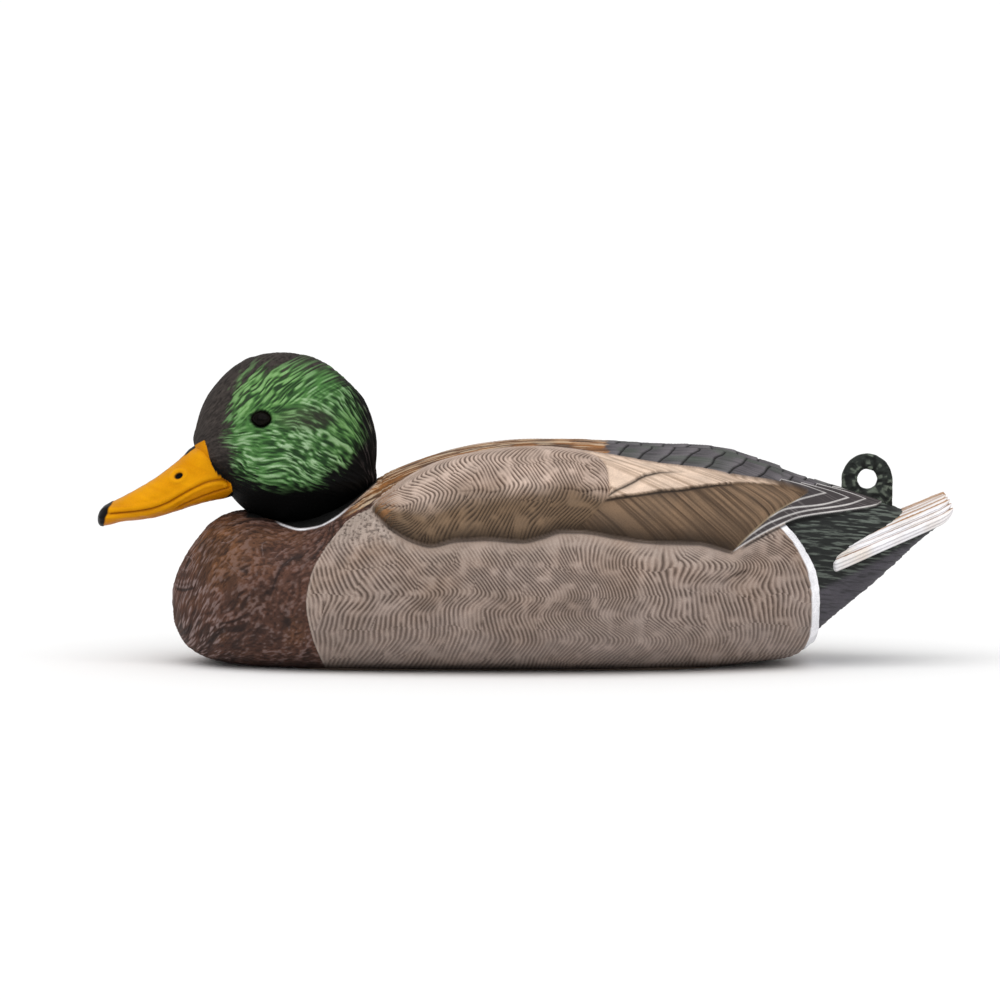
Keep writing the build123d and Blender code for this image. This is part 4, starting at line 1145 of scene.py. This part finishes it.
def carved(points, painter):
    """A smooth grid pushed out along its normals by its painter's relief, and its paint."""
    relief, paint = painter(points)
    normals = outward_normals(points)
    return points + normals * relief[..., None], paint


def build_head_halves(points, paint, material):
    """The head's skin as a left and a right half that meet on the ridge."""
    normals = outward_normals(points)
    faces = grid_faces(points)
    half = points.shape[1] // 2
    for side, chosen in (("left", faces[:, :half]), ("right", faces[:, half:])):
        piece = make_mesh(f"head_{side}_skin", points, chosen, material, "head", normals, paint)
        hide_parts("head_shell")


build_body_skins(painted_plastic("body_paint"))
head_points, head_paint = carved(head_form(), paint_head)
build_head_halves(head_points, head_paint, painted_plastic("head_paint", gloss=0.06))
bill_points, bill_paint = carved(bill_form(), paint_bill)
bill_material = painted_plastic("bill_paint", roughness=(0.4, 0.55), speckle=0.05, grain=1500, gloss=0.06)
skin("bill_skin", bill_points, bill_paint, bill_material, "head", "bill")
tail_material = painted_plastic("tail_paint", speckle=0.08)
for side in (-1, 1):
    for number in range(len(TAIL_FEATHERS)):
        build_tail_feather(number, side, tail_material)
build_loop(painted_plastic("loop_paint", depth=0.00012))
build_hull_rim(painted_plastic("hull_rim_paint"))

PALE_STEEL = (0.42, 0.42, 0.43), (0.6, 0.6, 0.6)
BRIGHT_STEEL = (0.45, 0.45, 0.46), (0.62, 0.62, 0.62)
EVEN, ALONG_X, ALONG_Y = (1, 1, 1), (8, 1, 1), (1, 8, 1)
# CAD pieces that keep their own shape: node, two tones, roughness, metal, grain, stretch of the grain
FINISHES = {
    "hull_plate": (((0.045, 0.04, 0.036), (0.075, 0.068, 0.06)), 0.6, 0.0, 500, EVEN),
    "hull_gasket": (((0.012, 0.012, 0.012), (0.03, 0.03, 0.03)), 0.8, 0.0, 900, EVEN),
    "hull_screws": (PALE_STEEL, 0.32, 1.0, 700, ALONG_Y),
    "ballast_bar": (((0.09, 0.085, 0.08), (0.17, 0.15, 0.13)), 0.62, 0.8, 350, EVEN),
    "ballast_screws": (PALE_STEEL, 0.32, 1.0, 700, ALONG_Y),
    "front_line_pin": (BRIGHT_STEEL, 0.28, 1.0, 800, (1, 12, 1)),
    "rear_line_pin": (BRIGHT_STEEL, 0.28, 1.0, 800, (1, 12, 1)),
    "drain_plug": (((0.014, 0.014, 0.014), (0.035, 0.035, 0.035)), 0.75, 0.0, 800, EVEN),
    "foam_core": (((0.55, 0.46, 0.26), (0.7, 0.6, 0.38)), 0.9, 0.0, 450, EVEN),
    "neck_plug": (((0.05, 0.05, 0.05), (0.09, 0.09, 0.09)), 0.5, 0.0, 600, EVEN),
    "neck_bolt": (PALE_STEEL, 0.3, 1.0, 700, (1, 1, 10)),
    "neck_bush": (((0.7, 0.68, 0.62), (0.82, 0.8, 0.74)), 0.45, 0.0, 600, EVEN),
    "neck_washer": (BRIGHT_STEEL, 0.35, 1.0, 700, ALONG_X),
    "spring_washer": (((0.3, 0.3, 0.31), (0.45, 0.45, 0.46)), 0.35, 1.0, 700, ALONG_X),
    "lock_nut": (PALE_STEEL, 0.32, 1.0, 700, (1, 1, 6)),
}


def glass_eye(name):
    """A nearly black, smooth bead with a faint clear coat."""
    material, tree, shader = node_material(name)
    source = object_noise(tree, 700, 3)
    tones = (0.001, 0.001, 0.001), (0.006, 0.004, 0.003)
    tree.links.new(ramp(tree, source, *tones), shader.inputs["Base Color"])
    shader.inputs["Roughness"].default_value = 0.1
    shader.inputs["Specular IOR Level"].default_value = 0.03
    shader.inputs["Coat Weight"].default_value = 0.02
    shader.inputs["Coat Roughness"].default_value = 0.08
    return material


def build_eye(side, eye_side, material):
    """A smooth bead drawn out slightly at its front and rear corners, set into its socket."""
    down = np.linspace(0, pi, EYE_ROWS)[:, None]
    turn = np.linspace(0, 2 * pi, EYE_COLUMNS, endpoint=False)[None, :]
    corner = 1 + 0.16 * np.abs(np.cos(turn)) ** 6
    x = EYE_X + EYE_HALF_LENGTH * np.sin(down) * np.cos(turn) * corner
    z = EYE_Z + EYE_HALF_HEIGHT * np.sin(down) * np.sin(turn)
    y = EYE_Y + EYE_DEPTH * np.cos(down) + 0.25 * (x - EYE_X) - 0.3 * (z - EYE_Z)
    points = np.stack([x, y * side, z], -1)
    piece = make_mesh(f"eye_{eye_side}_skin", points, grid_faces(points), material, "head")
    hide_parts(f"eye_{eye_side}")


def dress(node, material):
    """Gives a CAD node one material on every face."""
    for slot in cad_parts[node].material_slots:
        slot.material = material


for node, (tones, roughness, metal, grain, stretch) in FINISHES.items():
    dress(node, plain_finish(f"{node}_finish", tones, roughness, metal, grain, stretch))
eye_material = glass_eye("eye_glass")
for side, eye_side in ((-1, "left"), (1, "right")):
    build_eye(side, eye_side, eye_material)


# ---- Camera, light and floor ----

# Metres: the camera's distance, the width it sees there, and half the floor's width
CAMERA_DISTANCE, CAMERA_FRAME, FLOOR_REACH = 4.0, 0.476, 60
camera_aim = Vector((-0.0117, 0, 0.0774))
camera_data = bpy.data.cameras.new("camera")
camera_data.lens = camera_data.sensor_width * CAMERA_DISTANCE / CAMERA_FRAME
camera = bpy.data.objects.new("camera", camera_data)
camera.location = camera_aim + CAMERA_DISTANCE * Vector((0, -cos(VIEW_TILT), sin(VIEW_TILT)))
camera.rotation_euler = (pi / 2 - VIEW_TILT, 0, 0)
bpy.context.scene.collection.objects.link(camera)
bpy.context.scene.camera = camera


def sun(name, direction, strength, softness):
    """A distant light that shines along a direction, its softness the angle it fills, in degrees."""
    data = bpy.data.lights.new(name, "SUN")
    data.energy = strength
    data.angle = radians(softness)
    light = bpy.data.objects.new(name, data)
    light.rotation_euler = Vector(direction).to_track_quat("-Z", "Y").to_euler()
    bpy.context.scene.collection.objects.link(light)


sun("key", direction=(0.12, 0.54, -1.0), strength=1.5, softness=72)
sun("fill", direction=(-0.6, 0.7, -0.5), strength=0.35, softness=80)

world = bpy.data.worlds.new("studio")
world.use_nodes = True
studio = world.node_tree.nodes["Background"].inputs
studio["Color"].default_value = (1, 1, 1, 1)
studio["Strength"].default_value = 0.65
bpy.context.scene.world = world
bpy.context.scene.view_settings.view_transform = "Standard"

floor_mesh = bpy.data.meshes.new("floor")
floor_corners = [(x * FLOOR_REACH, y * FLOOR_REACH, 0) for x, y in ((-1, -1), (1, -1), (1, 1), (-1, 1))]
floor_mesh.from_pydata(floor_corners, [], [(0, 1, 2, 3)])
floor = bpy.data.objects.new("floor", floor_mesh)
bpy.context.scene.collection.objects.link(floor)
floor_material, _, floor_shader = node_material("floor_paper")
floor_shader.inputs["Base Color"].default_value = (0.96, 0.96, 0.96, 1)
floor_shader.inputs["Roughness"].default_value = 0.9
floor_mesh.materials.append(floor_material)
